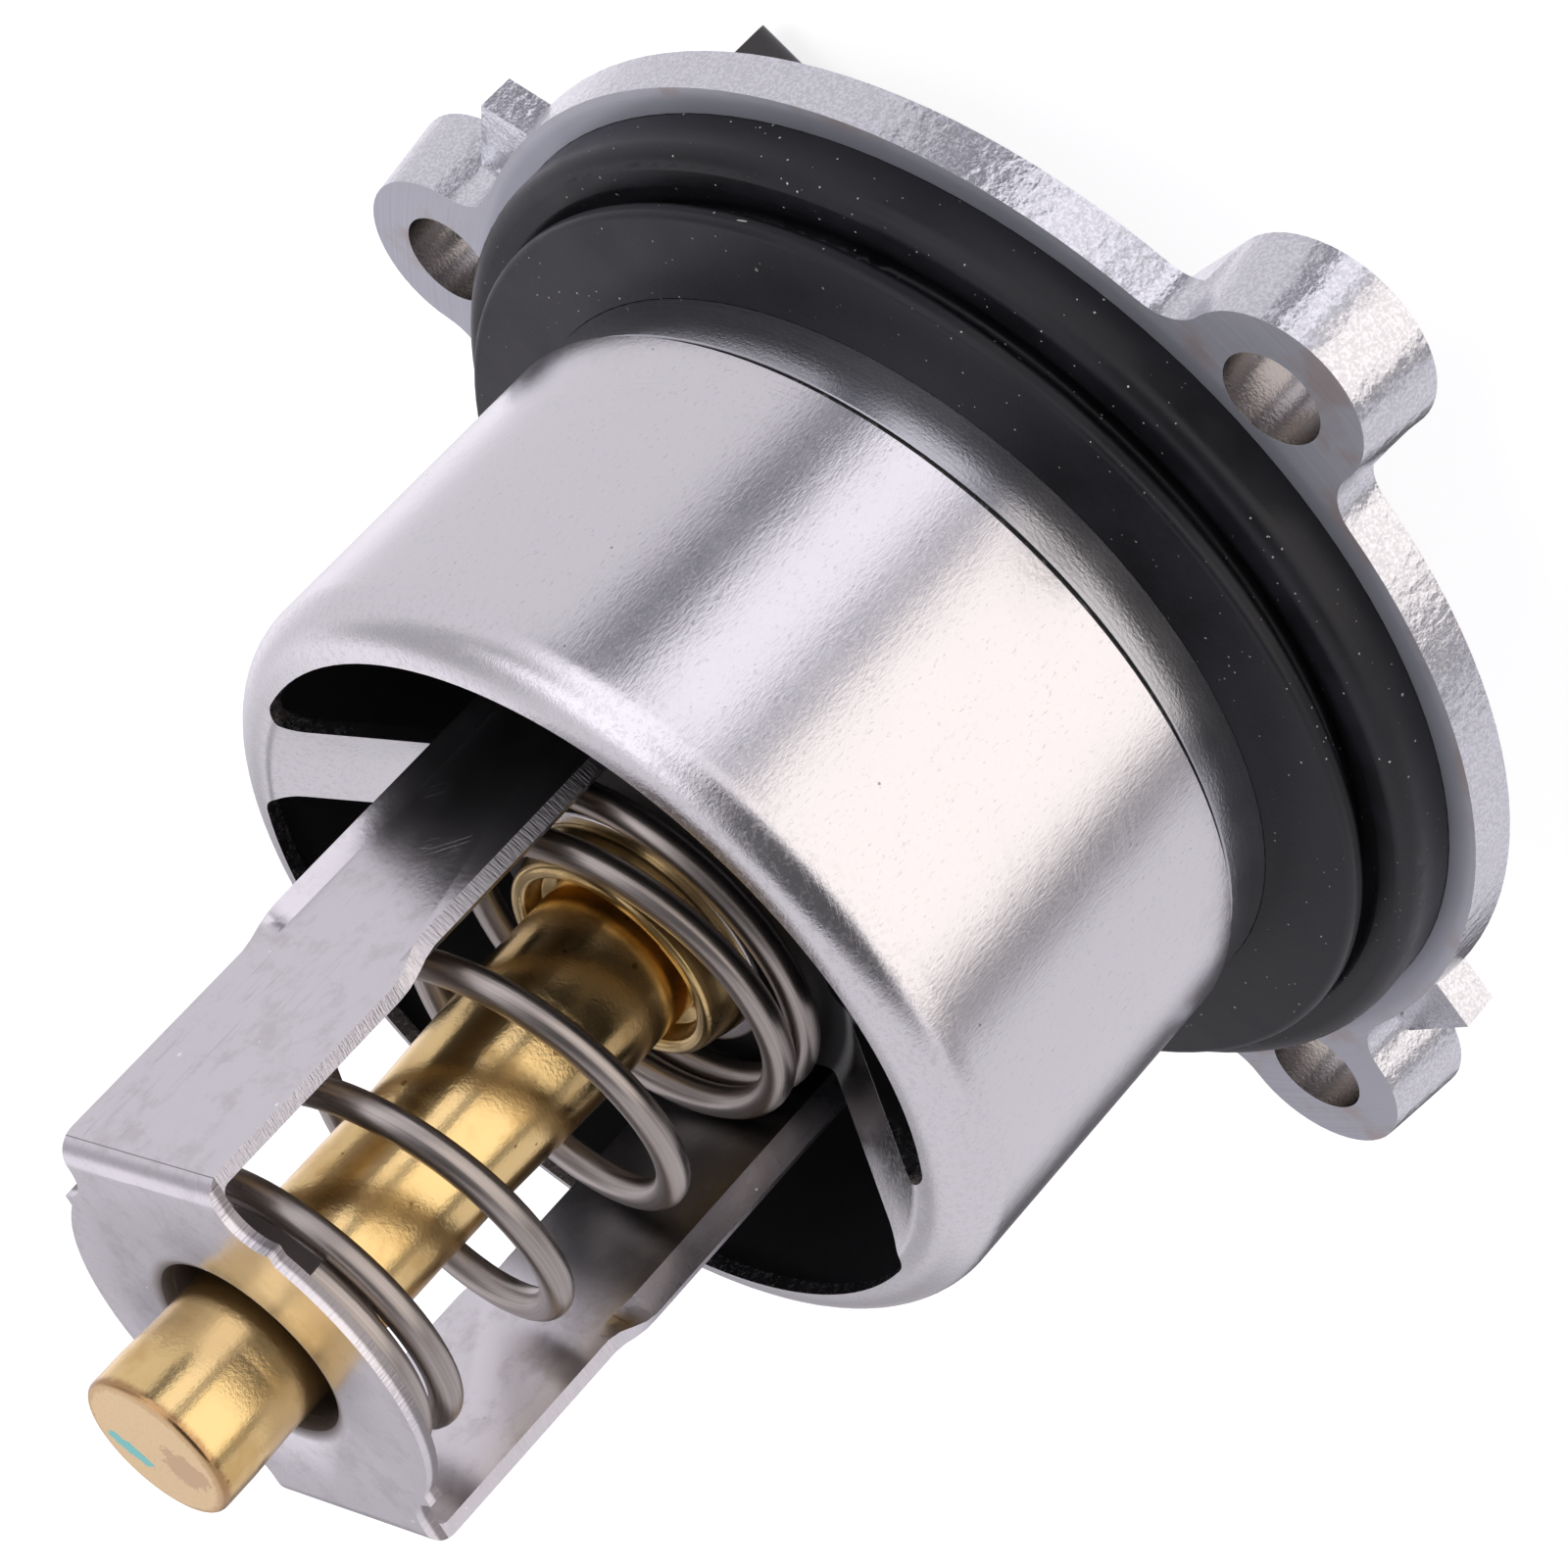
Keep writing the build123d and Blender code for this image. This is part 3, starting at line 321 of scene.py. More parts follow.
def chain(tree, operation, first, others):
    for other in others:
        first = maths(tree, operation, first, other)
    return first


def product(tree, first, *others):
    return chain(tree, "MULTIPLY", first, others)


def total(tree, first, *others):
    return chain(tree, "ADD", first, others)


def highest(tree, first, *others):
    return chain(tree, "MAXIMUM", first, others)


def above(tree, value, limit):
    """1 where the value is above the limit, and 0 elsewhere."""
    return maths(tree, "GREATER_THAN", value, limit)


def below(tree, value, limit):
    """1 where the value is below the limit, and 0 elsewhere."""
    return maths(tree, "LESS_THAN", value, limit)


def opposite(tree, mask):
    """1 where the mask is 0, and 0 where it is 1."""
    return maths(tree, "SUBTRACT", 1.0, mask)


def distance_from(tree, value, middle):
    return maths(tree, "ABSOLUTE", maths(tree, "SUBTRACT", value, middle))


def remap(tree, value, low, high, out_low=0.0, out_high=1.0):
    """A value mapped between two limits, smooth at both ends."""
    inputs = {"Value": value, "From Min": low, "From Max": high, "To Min": out_low, "To Max": out_high}
    return add_node(tree, "ShaderNodeMapRange", inputs, interpolation_type="SMOOTHSTEP").outputs[0]


def vectors(tree, operation, first, second):
    return add_node(tree, "ShaderNodeVectorMath", {0: first, 1: second}, operation=operation).outputs[0]


def measure(tree, operation, first, second=(0, 0, 0)):
    """The length, the distance or the dot product of vectors."""
    return add_node(tree, "ShaderNodeVectorMath", {0: first, 1: second}, operation=operation).outputs["Value"]


def stretch(tree, place, factors):
    return vectors(tree, "MULTIPLY", place, factors)


def scaled(tree, place, factor):
    return add_node(tree, "ShaderNodeVectorMath", {0: place, "Scale": factor}, operation="SCALE").outputs[0]


def turned_place(tree, place, axis, turn):
    inputs = {"Vector": place, "Axis": axis, "Angle": turn}
    return add_node(tree, "ShaderNodeVectorRotate", inputs, rotation_type="AXIS_ANGLE").outputs[0]


def mix_colours(tree, factor, first, second):
    made = add_node(tree, "ShaderNodeMix", {"Factor": factor}, data_type="RGBA")
    for socket, value in ((made.inputs[6], first), (made.inputs[7], second)):
        if isinstance(value, bpy.types.NodeSocket):
            tree.links.new(value, socket)
        else:
            socket.default_value = (*value, 1)
    return made.outputs[2]


def shade(colour_of, *factors):
    """A colour made darker or paler, by one factor or by one for each of its parts."""
    return [min(part * factor, 1) for part, factor in zip(colour_of, factors * (3 // len(factors)))]


def noise(tree, place, scale, detail=3.0, roughness=0.55):
    inputs = {"Vector": place, "Scale": scale, "Detail": detail, "Roughness": roughness}
    return add_node(tree, "ShaderNodeTexNoise", inputs).outputs["Fac"]


def wander(tree, place, scale, detail, roughness, reach):
    """Uneven shift to both sides that makes a border ragged."""
    return product(tree, maths(tree, "SUBTRACT", noise(tree, place, scale, detail, roughness), 0.5), reach)


def bump(tree, height, strength, distance, under=None):
    """Surface normal tilted by a height, over another normal if one is given."""
    inputs = {"Height": height, "Strength": strength, "Distance": distance}
    if under is not None:
        inputs["Normal"] = under
    return add_node(tree, "ShaderNodeBump", inputs).outputs[0]


def object_place(tree):
    return add_node(tree, "ShaderNodeTexCoord").outputs["Object"]


def surface_normal(tree):
    return add_node(tree, "ShaderNodeNewGeometry").outputs["Normal"]


def upward_part(tree, vector):
    return add_node(tree, "ShaderNodeSeparateXYZ", {0: vector}).outputs["Z"]


def new_group(name, inputs, outputs):
    """Shader node group with its sockets, its input node and its output node."""
    tree = bpy.data.node_groups.new(name, "ShaderNodeTree")
    for label, kind, default in inputs:
        socket = tree.interface.new_socket(label, in_out="INPUT", socket_type=kind)
        socket.default_value = default
    for label, kind in outputs:
        tree.interface.new_socket(label, in_out="OUTPUT", socket_type=kind)
    return tree, tree.nodes.new("NodeGroupInput"), tree.nodes.new("NodeGroupOutput")


def use_group(tree, name, **inputs):
    """Node group with its own values, in whose names an underscore stands for a space."""
    made = tree.nodes.new("ShaderNodeGroup")
    made.node_tree = bpy.data.node_groups[name]
    set_inputs(tree, made, {key.replace("_", " "): value for key, value in inputs.items()})
    return made


# Effects that several finishes share


def make_axis_group():
    """Radius and height of a point about the valve axis, and a vector that unrolls it."""
    tree, _, out = new_group("axis_place", [], [("Radius", FLOAT), ("Height", FLOAT), ("Around", VECTOR)])
    x, y, z = add_node(tree, "ShaderNodeSeparateXYZ", {0: object_place(tree)}).outputs
    radius = maths(tree, "SQRT", total(tree, product(tree, x, x), product(tree, y, y)))
    safe = highest(tree, radius, SMALLEST_RADIUS)
    sides = {"X": maths(tree, "DIVIDE", x, safe), "Y": maths(tree, "DIVIDE", y, safe)}
    around = add_node(tree, "ShaderNodeCombineXYZ", sides).outputs[0]
    set_inputs(tree, out, {"Radius": radius, "Height": z, "Around": around})


def make_turned_group():
    """Fine lines that run round the axis, as a lathe leaves them."""
    inputs = [("Scale", FLOAT, 9000.0), ("Drift", FLOAT, 0.6)]
    tree, given, out = new_group("turned_lines", inputs, [("Height", FLOAT)])
    axis = use_group(tree, "axis_place")
    radius, height, around = axis.outputs
    scale = given.outputs["Scale"]
    sides = {"X": product(tree, radius, scale), "Z": product(tree, height, scale)}
    across = add_node(tree, "ShaderNodeCombineXYZ", sides).outputs[0]
    drift = scaled(tree, around, given.outputs["Drift"])
    set_inputs(tree, out, {"Height": noise(tree, vectors(tree, "ADD", across, drift), 1.0, 2.0)})


def make_drawn_group():
    """Fine lines that run along the axis, as a drawing die leaves them."""
    inputs = [("Scale", FLOAT, 60.0), ("Stretch", FLOAT, 60.0)]
    tree, given, out = new_group("drawn_lines", inputs, [("Height", FLOAT)])
    axis = use_group(tree, "axis_place")
    wide = scaled(tree, axis.outputs["Around"], given.outputs["Scale"])
    height = product(tree, axis.outputs["Height"], given.outputs["Stretch"])
    upright = add_node(tree, "ShaderNodeCombineXYZ", {"Z": height}).outputs[0]
    set_inputs(tree, out, {"Height": noise(tree, vectors(tree, "ADD", wide, upright), 1.0, 3.0)})


def make_grain_group():
    """Fine even grain with a slower unevenness under it."""
    inputs = [("Scale", FLOAT, 4000.0), ("Slow Scale", FLOAT, 300.0), ("Slow Share", FLOAT, 0.3)]
    tree, given, out = new_group("grain", inputs, [("Height", FLOAT), ("Slow", FLOAT)])
    place = object_place(tree)
    fine = noise(tree, place, given.outputs["Scale"], 3.0, 0.6)
    slow = noise(tree, place, given.outputs["Slow Scale"], 4.0, 0.6)
    height = total(tree, fine, product(tree, slow, given.outputs["Slow Share"]))
    set_inputs(tree, out, {"Height": height, "Slow": slow})


def make_scuff_group():
    """Short scratches in patches."""
    inputs = [
        ("Scale", FLOAT, 1500.0), ("Patch Scale", FLOAT, 150.0), ("Amount", FLOAT, 0.5),
        ("Direction", VECTOR, (1.0, 1.0, 0.15)),
    ]
    tree, given, out = new_group("scuffs", inputs, [("Mask", FLOAT)])
    place = object_place(tree)
    stretched = stretch(tree, place, given.outputs["Direction"])
    lines = remap(tree, noise(tree, stretched, given.outputs["Scale"], 2.0), 0.56, 0.70)
    patches = remap(tree, noise(tree, place, given.outputs["Patch Scale"], 3.0), 0.45, 0.70)
    mask = maths(tree, "MULTIPLY", product(tree, lines, patches), given.outputs["Amount"], clamp=True)
    set_inputs(tree, out, {"Mask": mask})


def make_scratch_group():
    """Sparse long straight hairlines."""
    inputs = [("Scale", FLOAT, 150.0), ("Turn", FLOAT, 0.5), ("Amount", FLOAT, 0.5)]
    tree, given, out = new_group("scratches", inputs, [("Mask", FLOAT)])
    turned = turned_place(tree, object_place(tree), (1.0, 0.7, 0.2), given.outputs["Turn"])
    lines = noise(tree, stretch(tree, turned, (0.35, 0.35, 14.0)), given.outputs["Scale"], 2.0, 0.5)
    kept = remap(tree, noise(tree, turned, given.outputs["Scale"], 1.0), 0.58, 0.66)
    thin = remap(tree, distance_from(tree, lines, 0.5), 0.010, 0.002)
    set_inputs(tree, out, {"Mask": product(tree, thin, kept, given.outputs["Amount"])})


def make_dust_group():
    """Small specks of different sizes."""
    inputs = [
        ("Vector", VECTOR, (0.0, 0.0, 0.0)), ("Scale", FLOAT, 1100.0), ("Size", FLOAT, 0.10),
        ("Share", FLOAT, 0.25),
    ]
    tree, given, out = new_group("dust", inputs, [("Mask", FLOAT)])
    place = vectors(tree, "ADD", given.outputs["Vector"], object_place(tree))
    cells = add_node(tree, "ShaderNodeTexVoronoi", {"Vector": place, "Scale": given.outputs["Scale"]})
    pick = add_node(tree, "ShaderNodeSeparateColor", {0: cells.outputs["Color"]})
    size = product(tree, given.outputs["Size"], total(tree, pick.outputs[1], 0.5))
    near = below(tree, cells.outputs["Distance"], size)
    kept = below(tree, pick.outputs[0], given.outputs["Share"])
    set_inputs(tree, out, {"Mask": product(tree, near, kept)})


# Finishes


def new_finish(name, metallic, roughness, specular=0.5):
    """Material with a shader whose even values are set on it."""
    material = bpy.data.materials.new(name)
    material.use_nodes = True
    shader = material.node_tree.nodes["Principled BSDF"]
    shader.inputs["Metallic"].default_value = metallic
    shader.inputs["Roughness"].default_value = roughness
    shader.inputs["Specular IOR Level"].default_value = specular
    return material, material.node_tree, shader


def painted_black_shade(tree, axis):
    """Mask of the sleeve's inner wall, its undersides and its sunk hub, apart from the hub's turned rim,
    where shade is painted black.
    """
    radius, height, around = axis.outputs
    normal = surface_normal(tree)
    up = upward_part(tree, normal)
    outward = measure(tree, "DOT_PRODUCT", normal, around)
    wall = product(tree, below(tree, outward, -0.2), above(tree, radius, SLEEVE_WALL))
    under = below(tree, up, -0.25)
    hub = product(tree, remap(tree, radius, *HUB_EDGE), below(tree, height, SLEEVE_HIGH.z - HUB_DEPTH))
    rim = product(tree, below(tree, radius, HUB_RIM), above(tree, height, COLLAR_HIGH.z - HUB_RIM_DROP))
    hub = product(tree, hub, opposite(tree, rim))
    foot = below(tree, height, SLEEVE_LOW.z + SLEEVE_FOOT)
    return highest(tree, product(tree, highest(tree, wall, under), opposite(tree, foot)), hub)


def finish_drawn_aluminium(colours):
    """Satin sheet of the sleeve, with a fine lengthwise grain, and shade painted black on its inner side,
    undersides and sunk hub.
    """
    material, tree, shader = new_finish("sleeve_sheet", 1.0, 0.2)
    axis = use_group(tree, "axis_place")
    place = object_place(tree)
    fine = noise(tree, stretch(tree, place, (1.0, 1.0, 0.4)), 5200.0, 3.0, 0.7)
    slow = noise(tree, place, 300.0, 4.0, 0.6)
    specks = use_group(tree, "dust", Scale=420.0, Size=0.035, Share=0.35)
    scratches = use_group(tree, "scratches", Scale=150.0, Turn=0.5, Amount=0.5)
    crest = remap(tree, axis.outputs["Height"], *CREST)
    rubbed = product(tree, crest, remap(tree, noise(tree, place, 2600.0, 4.0, 0.7), 0.50, 0.60))
    inside = painted_black_shade(tree, axis)
    pale = colours.aluminium
    tint = mix_colours(tree, remap(tree, fine, 0.58, 0.72), pale, shade(pale, 0.82))
    tint = mix_colours(tree, product(tree, rubbed, 0.10), tint, (0.40, 0.36, 0.33))
    tint = mix_colours(tree, product(tree, specks.outputs[0], 0.6), tint, (0.10, 0.08, 0.07))
    # Painted shade: the inner wall, undersides and sunk hub are made near-black, dull and not metal
    tint = mix_colours(tree, inside, tint, (0.010, 0.010, 0.011))
    rough = total(tree, product(tree, slow, 0.10), 0.14)
    rough = total(tree, rough, product(tree, rubbed, 0.10))
    rising = product(tree, fine, total(tree, product(tree, crest, 0.2), 1.0))
    grained = bump(tree, rising, 1.0, 0.000014)
    uneven = bump(tree, slow, 0.5, 0.00005, grained)
    set_inputs(tree, shader, {
        "Base Color": tint,
        "Metallic": opposite(tree, inside),
        "Roughness": highest(tree, rough, product(tree, inside, 0.55)),
        "Normal": bump(tree, scratches.outputs[0], 0.35, -0.00001, uneven),
    })
    return material


def bolt_hole_walls(tree, place, face):
    """Mask of the walls of the bolt holes, where shade is painted."""
    outside = 1.0
    for hole in BOLT_HOLES:
        away = vectors(tree, "SUBTRACT", place, (*hole, 0))
        reach = measure(tree, "LENGTH", stretch(tree, away, (1, 1, 0)))
        outside = product(tree, above(tree, reach, BOLT_HOLE_REACH), outside)
    return product(tree, opposite(tree, outside), opposite(tree, face))


def finish_cast_aluminium(colours):
    """Die casting: bright beaten skin whose grain also paints glints, with painted shade in its bolt holes,
    dull milled faces and a turned spigot.
    """
    material, tree, shader = new_finish("cover_skin", 1.0, 0.25)
    axis = use_group(tree, "axis_place")
    radius, height, _ = axis.outputs
    place = object_place(tree)
    blasted = noise(tree, place, 4400.0, 3.0, 0.6)
    hammered = noise(tree, place, 1200.0, 2.0, 0.5)
    slow = noise(tree, place, 260.0, 4.0, 0.6)
    turned = use_group(tree, "turned_lines", Scale=16000.0, Drift=2.5).outputs[0]
    up = upward_part(tree, surface_normal(tree))
    level = product(tree, above(tree, up, 0.9), above(tree, height, FLANGE_LEVEL))
    spigot = above(tree, height, SPIGOT_LEVEL)
    face = product(tree, level, opposite(tree, spigot))
    bore = bolt_hole_walls(tree, place, face)
    pale = colours.casting
    # Grain of the blasted skin, its contrast raised so that its pale spots stand for painted glints
    skin = mix_colours(tree, remap(tree, blasted, 0.40, 0.62), shade(pale, 0.80), pale)
    # Painted shade: the walls of the bolt holes are darkened
    skin = mix_colours(tree, bore, skin, (0.36, 0.34, 0.33))
    streaks = remap(tree, turned, 0.35, 0.65)
    stain = product(tree, remap(tree, noise(tree, place, 150.0, 4.0, 0.6), 0.52, 0.66), 0.45)
    milled = mix_colours(tree, streaks, shade(pale, 0.59, 0.60, 0.63), shade(pale, 0.66, 0.67, 0.70))
    milled = mix_colours(tree, stain, milled, (0.42, 0.30, 0.24))
    ring = remap(tree, radius, *FLANGE_RIM)
    milled = mix_colours(tree, ring, milled, shade(pale, 0.50, 0.51, 0.55))
    tint = mix_colours(tree, face, skin, milled)
    tint = mix_colours(tree, spigot, tint, mix_colours(tree, streaks, shade(pale, 0.52), shade(pale, 0.62)))
    rough = total(tree, product(tree, slow, 0.16), 0.13)
    lathe = product(tree, total(tree, product(tree, turned, 0.10), product(tree, blasted, 0.5)), spigot)
    cast = opposite(tree, highest(tree, spigot, product(tree, face, 0.85)))
    grained = bump(tree, total(tree, lathe, product(tree, blasted, cast)), 1.0, 0.000024)
    beaten = product(tree, hammered, product(tree, cast, opposite(tree, bore)))
    set_inputs(tree, shader, {
        "Base Color": tint,
        "Metallic": opposite(tree, product(tree, face, 0.30)),
        "Roughness": total(tree, rough, product(tree, face, 0.22)),
        "Normal": bump(tree, beaten, 1.0, 0.00008, grained),
    })
    return material


def finish_pressed_steel(colours, azimuth):
    """Rolled sheet of the stirrup, with rough bright sheared edges, and painted shade on its legs' inner
    faces, on its edges low down and round its hole.
    """
    material, tree, shader = new_finish("pressed_sheet", 1.0, 0.3)
    grain = use_group(tree, "grain", Scale=2600.0, Slow_Scale=160.0, Slow_Share=0.5)
    scuffs = use_group(tree, "scuffs", Scale=4200.0, Patch_Scale=160.0, Amount=0.5, Direction=(1, 1, 0.06))
    scuffs = scuffs.outputs[0]
    dust = use_group(tree, "dust", Scale=520.0, Size=0.05, Share=0.4).outputs[0]
    scratches = use_group(tree, "scratches", Scale=220.0, Turn=0.9, Amount=0.8).outputs[0]
    place = object_place(tree)
    height = upward_part(tree, place)
    normal = surface_normal(tree)
    up = upward_part(tree, normal)
    radius, _, around = use_group(tree, "axis_place").outputs
    top = STIRRUP_HIGH.z
    sideways = measure(tree, "DOT_PRODUCT", normal, (-math.sin(azimuth), math.cos(azimuth), 0))
    legs = below(tree, height, top - SHEET)
    leg_edge = product(tree, above(tree, maths(tree, "ABSOLUTE", sideways), 0.70), legs)
    upright = below(tree, maths(tree, "ABSOLUTE", up), 0.4)
    rim = product(tree, upright, above(tree, height, top - SHEET * 1.02), above(tree, radius, DISC_INSIDE))
    sheared = highest(tree, leg_edge, rim)
    mouth_shade = product(tree, remap(tree, radius, *MOUTH_SHADE), above(tree, height, top - MOUTH_SHADE_DEPTH))
    leg_ribs = noise(tree, stretch(tree, place, (0.12, 0.12, 1.0)), 6500.0, 3.0)
    rim_ribs = noise(tree, stretch(tree, place, (1.0, 1.0, 0.1)), 5500.0, 3.0)
    either = {"Factor": rim, 2: leg_ribs, 3: rim_ribs}
    ribs = add_node(tree, "ShaderNodeMix", either, data_type="FLOAT").outputs[0]
    inward = remap(tree, measure(tree, "DOT_PRODUCT", normal, around), -0.3, -0.7)
    inward = product(tree, inward, legs)
    torn_side_and_shade = product(tree, rim, remap(tree, maths(tree, "SUBTRACT", top, height), *TORN_AND_SHADED_HALF))
    pale = colours.steel
    tint = mix_colours(tree, scuffs, pale, shade(pale, 0.7))
    # Painted shade: the legs' inner faces are darkened low down and made paler higher up
    inner = mix_colours(tree, remap(tree, height, *LEG_SHADE), shade(pale, 0.33), shade(pale, 1.15))
    tint = mix_colours(tree, inward, tint, inner)
    mottle = product(tree, remap(tree, noise(tree, place, 420.0, 5.0, 0.7), 0.48, 0.68), 0.30)
    tint = mix_colours(tree, mottle, tint, (0.42, 0.38, 0.36))
    # Painted shade: the bright sheared edges grow darker low down, towards the hub
    bright = scaled(tree, shade(pale, 1.12), remap(tree, height, *EDGE_SHADE, 0.42, 1.0))
    tint = mix_colours(tree, sheared, tint, bright)
    # The lower half of the disc's sheared edge is painted dark: its torn half, and painted shade that narrows
    # the edge's bright band
    tint = mix_colours(tree, product(tree, torn_side_and_shade, 0.8), tint, (0.20, 0.18, 0.18))
    # Painted shade: the ring round the hole is made dark and less metallic
    tint = mix_colours(tree, product(tree, mouth_shade, 0.92), tint, (0.05, 0.035, 0.03))
    rough = total(tree, product(tree, grain.outputs["Slow"], 0.16), 0.17)
    rough = total(tree, rough, product(tree, inward, 0.08), product(tree, dust, 0.4))
    grained = bump(tree, grain.outputs["Height"], 0.5, 0.00002)
    lined = bump(tree, total(tree, scuffs, scratches), 0.4, -0.00001, grained)
    set_inputs(tree, shader, {
        "Base Color": mix_colours(tree, dust, tint, (1.0, 1.0, 1.0)),
        "Metallic": opposite(tree, product(tree, mouth_shade, 0.85)),
        "Roughness": total(tree, rough, product(tree, highest(tree, sheared, mouth_shade), 0.16)),
        "Normal": bump(tree, product(tree, ribs, sheared), 0.9, 0.0001, lined),
    })
    return material


def finish_spring_wire(colours):
    """Drawn wire with fine lines along it."""
    material, tree, shader = new_finish("spring_wire", 1.0, 0.25)
    place = add_node(tree, "ShaderNodeAttribute", attribute_name="wire_place").outputs["Vector"]
    lines = noise(tree, stretch(tree, place, (0.6, 7.0, 7.0)), 1.0, 4.0, 0.7)
    patches = noise(tree, object_place(tree), 400.0, 3.0)
    pale = colours.wire
    set_inputs(tree, shader, {
        "Base Color": mix_colours(tree, remap(tree, lines, 0.35, 0.65), shade(pale, 0.85), shade(pale, 1.12)),
        "Roughness": total(tree, product(tree, patches, 0.14), 0.27),
        "Normal": bump(tree, lines, 0.2, 0.00002),
    })
    return material


def paint_mark(tree, place, end, colours):
    """Mask of the ragged dab of paint on the element's end."""
    spot = {"Vector": place, "Location": (*colours.mark_place, 0), "Rotation": (0, 0, colours.mark_turn)}
    mark = add_node(tree, "ShaderNodeMapping", spot, vector_type="TEXTURE").outputs[0]
    x, y, _ = add_node(tree, "ShaderNodeSeparateXYZ", {0: mark}).outputs
    long, wide = colours.mark_size
    x = maths(tree, "DIVIDE", x, long)
    y = maths(tree, "DIVIDE", y, wide)
    reach = maths(tree, "SQRT", total(tree, product(tree, x, x), product(tree, y, y)))
    ragged = wander(tree, place, 1500.0, 4.0, 0.7, 1.6)
    return product(tree, remap(tree, total(tree, reach, ragged), 1.0, 0.85), end)


def dull_end_tint(tree, place, radius, colours):
    """Colour of the element's end: pitted, with a brown patch and a browner border."""
    blotch = measure(tree, "DISTANCE", place, (*BLOTCH_PLACE, ELEMENT_HIGH.z))
    ragged = wander(tree, place, 900.0, 5.0, 0.75, 0.0040)
    patch = remap(tree, total(tree, blotch, ragged), *BLOTCH_REACH)
    pitted = remap(tree, noise(tree, place, 5200.0, 3.0, 0.6), 0.56, 0.64, 0.0, 0.5)
    tint = mix_colours(tree, pitted, colours.dull_end, shade(colours.dull_end, 0.80))
    tint = mix_colours(tree, product(tree, patch, 0.60), tint, (0.56, 0.36, 0.22))
    border = remap(tree, radius, *BROWN_BORDER, 0.0, 0.55)
    return mix_colours(tree, border, tint, (0.50, 0.31, 0.15))


def finish_brass(colours):
    """Drawn brass cup: polished and slightly dented, with a dull end, a brown rim and a paint mark."""
    material, tree, shader = new_finish("drawn_brass", 1.0, 0.2)
    place = object_place(tree)
    radius, height, _ = use_group(tree, "axis_place").outputs
    grain = use_group(tree, "grain", Scale=2400.0, Slow_Scale=200.0, Slow_Share=0.9)
    drawn = use_group(tree, "drawn_lines", Scale=14.0, Stretch=25.0)
    pits = use_group(tree, "dust", Scale=900.0, Size=0.14, Share=0.10)
    ragged = wander(tree, place, 2600.0, 4.0, 0.7, 0.0007)
    rim = remap(tree, total(tree, height, ragged), *BROWN_EDGE)
    rim = product(tree, rim, above(tree, radius, ELEMENT_RIM))
    up = upward_part(tree, surface_normal(tree))
    end = product(tree, remap(tree, up, 0.55, 0.9), above(tree, height, END_LEVEL))
    paint = paint_mark(tree, place, end, colours)
    pale = colours.brass
    tarnish = remap(tree, grain.outputs["Slow"], 0.45, 0.75)
    tint = mix_colours(tree, tarnish, pale, shade(pale, 0.82, 0.74, 0.62))
    pitted = (pale[0] * 0.3, pale[1] * 0.22, 0.03)
    tint = mix_colours(tree, product(tree, pits.outputs[0], 0.7), tint, pitted)
    tint = mix_colours(tree, product(tree, rim, 0.85), tint, (0.42, 0.24, 0.11))
    tint = mix_colours(tree, end, tint, dull_end_tint(tree, place, total(tree, radius, ragged), colours))
    rough = total(tree, product(tree, tarnish, 0.12), 0.19)
    uneven = bump(tree, grain.outputs["Height"], 0.5, 0.000016)
    grained = bump(tree, noise(tree, place, 4200.0, 3.0, 0.6), 0.6, 0.000018, uneven)
    set_inputs(tree, shader, {
        "Base Color": mix_colours(tree, paint, tint, colours.paint),
        "Metallic": opposite(tree, highest(tree, paint, product(tree, end, 0.55))),
        "Roughness": total(tree, rough, product(tree, end, 0.3)),
        "Normal": bump(tree, drawn.outputs[0], 0.3, 0.00002, grained),
    })
    return material


def finish_turned_brass(colours):
    """Turned brass of the wax element's collar and guide."""
    material, tree, shader = new_finish("turned_brass", 1.0, 0.25)
    slow = use_group(tree, "grain", Scale=1800.0, Slow_Scale=300.0, Slow_Share=0.5).outputs["Slow"]
    turned = use_group(tree, "turned_lines", Scale=9000.0, Drift=1.0)
    pale = colours.brass
    set_inputs(tree, shader, {
        "Base Color": mix_colours(tree, remap(tree, slow, 0.4, 0.7), shade(pale, 0.80), shade(pale, 0.50)),
        "Roughness": total(tree, product(tree, slow, 0.2), 0.14),
        "Normal": bump(tree, turned.outputs[0], 0.3, 0.00002),
    })
    return material


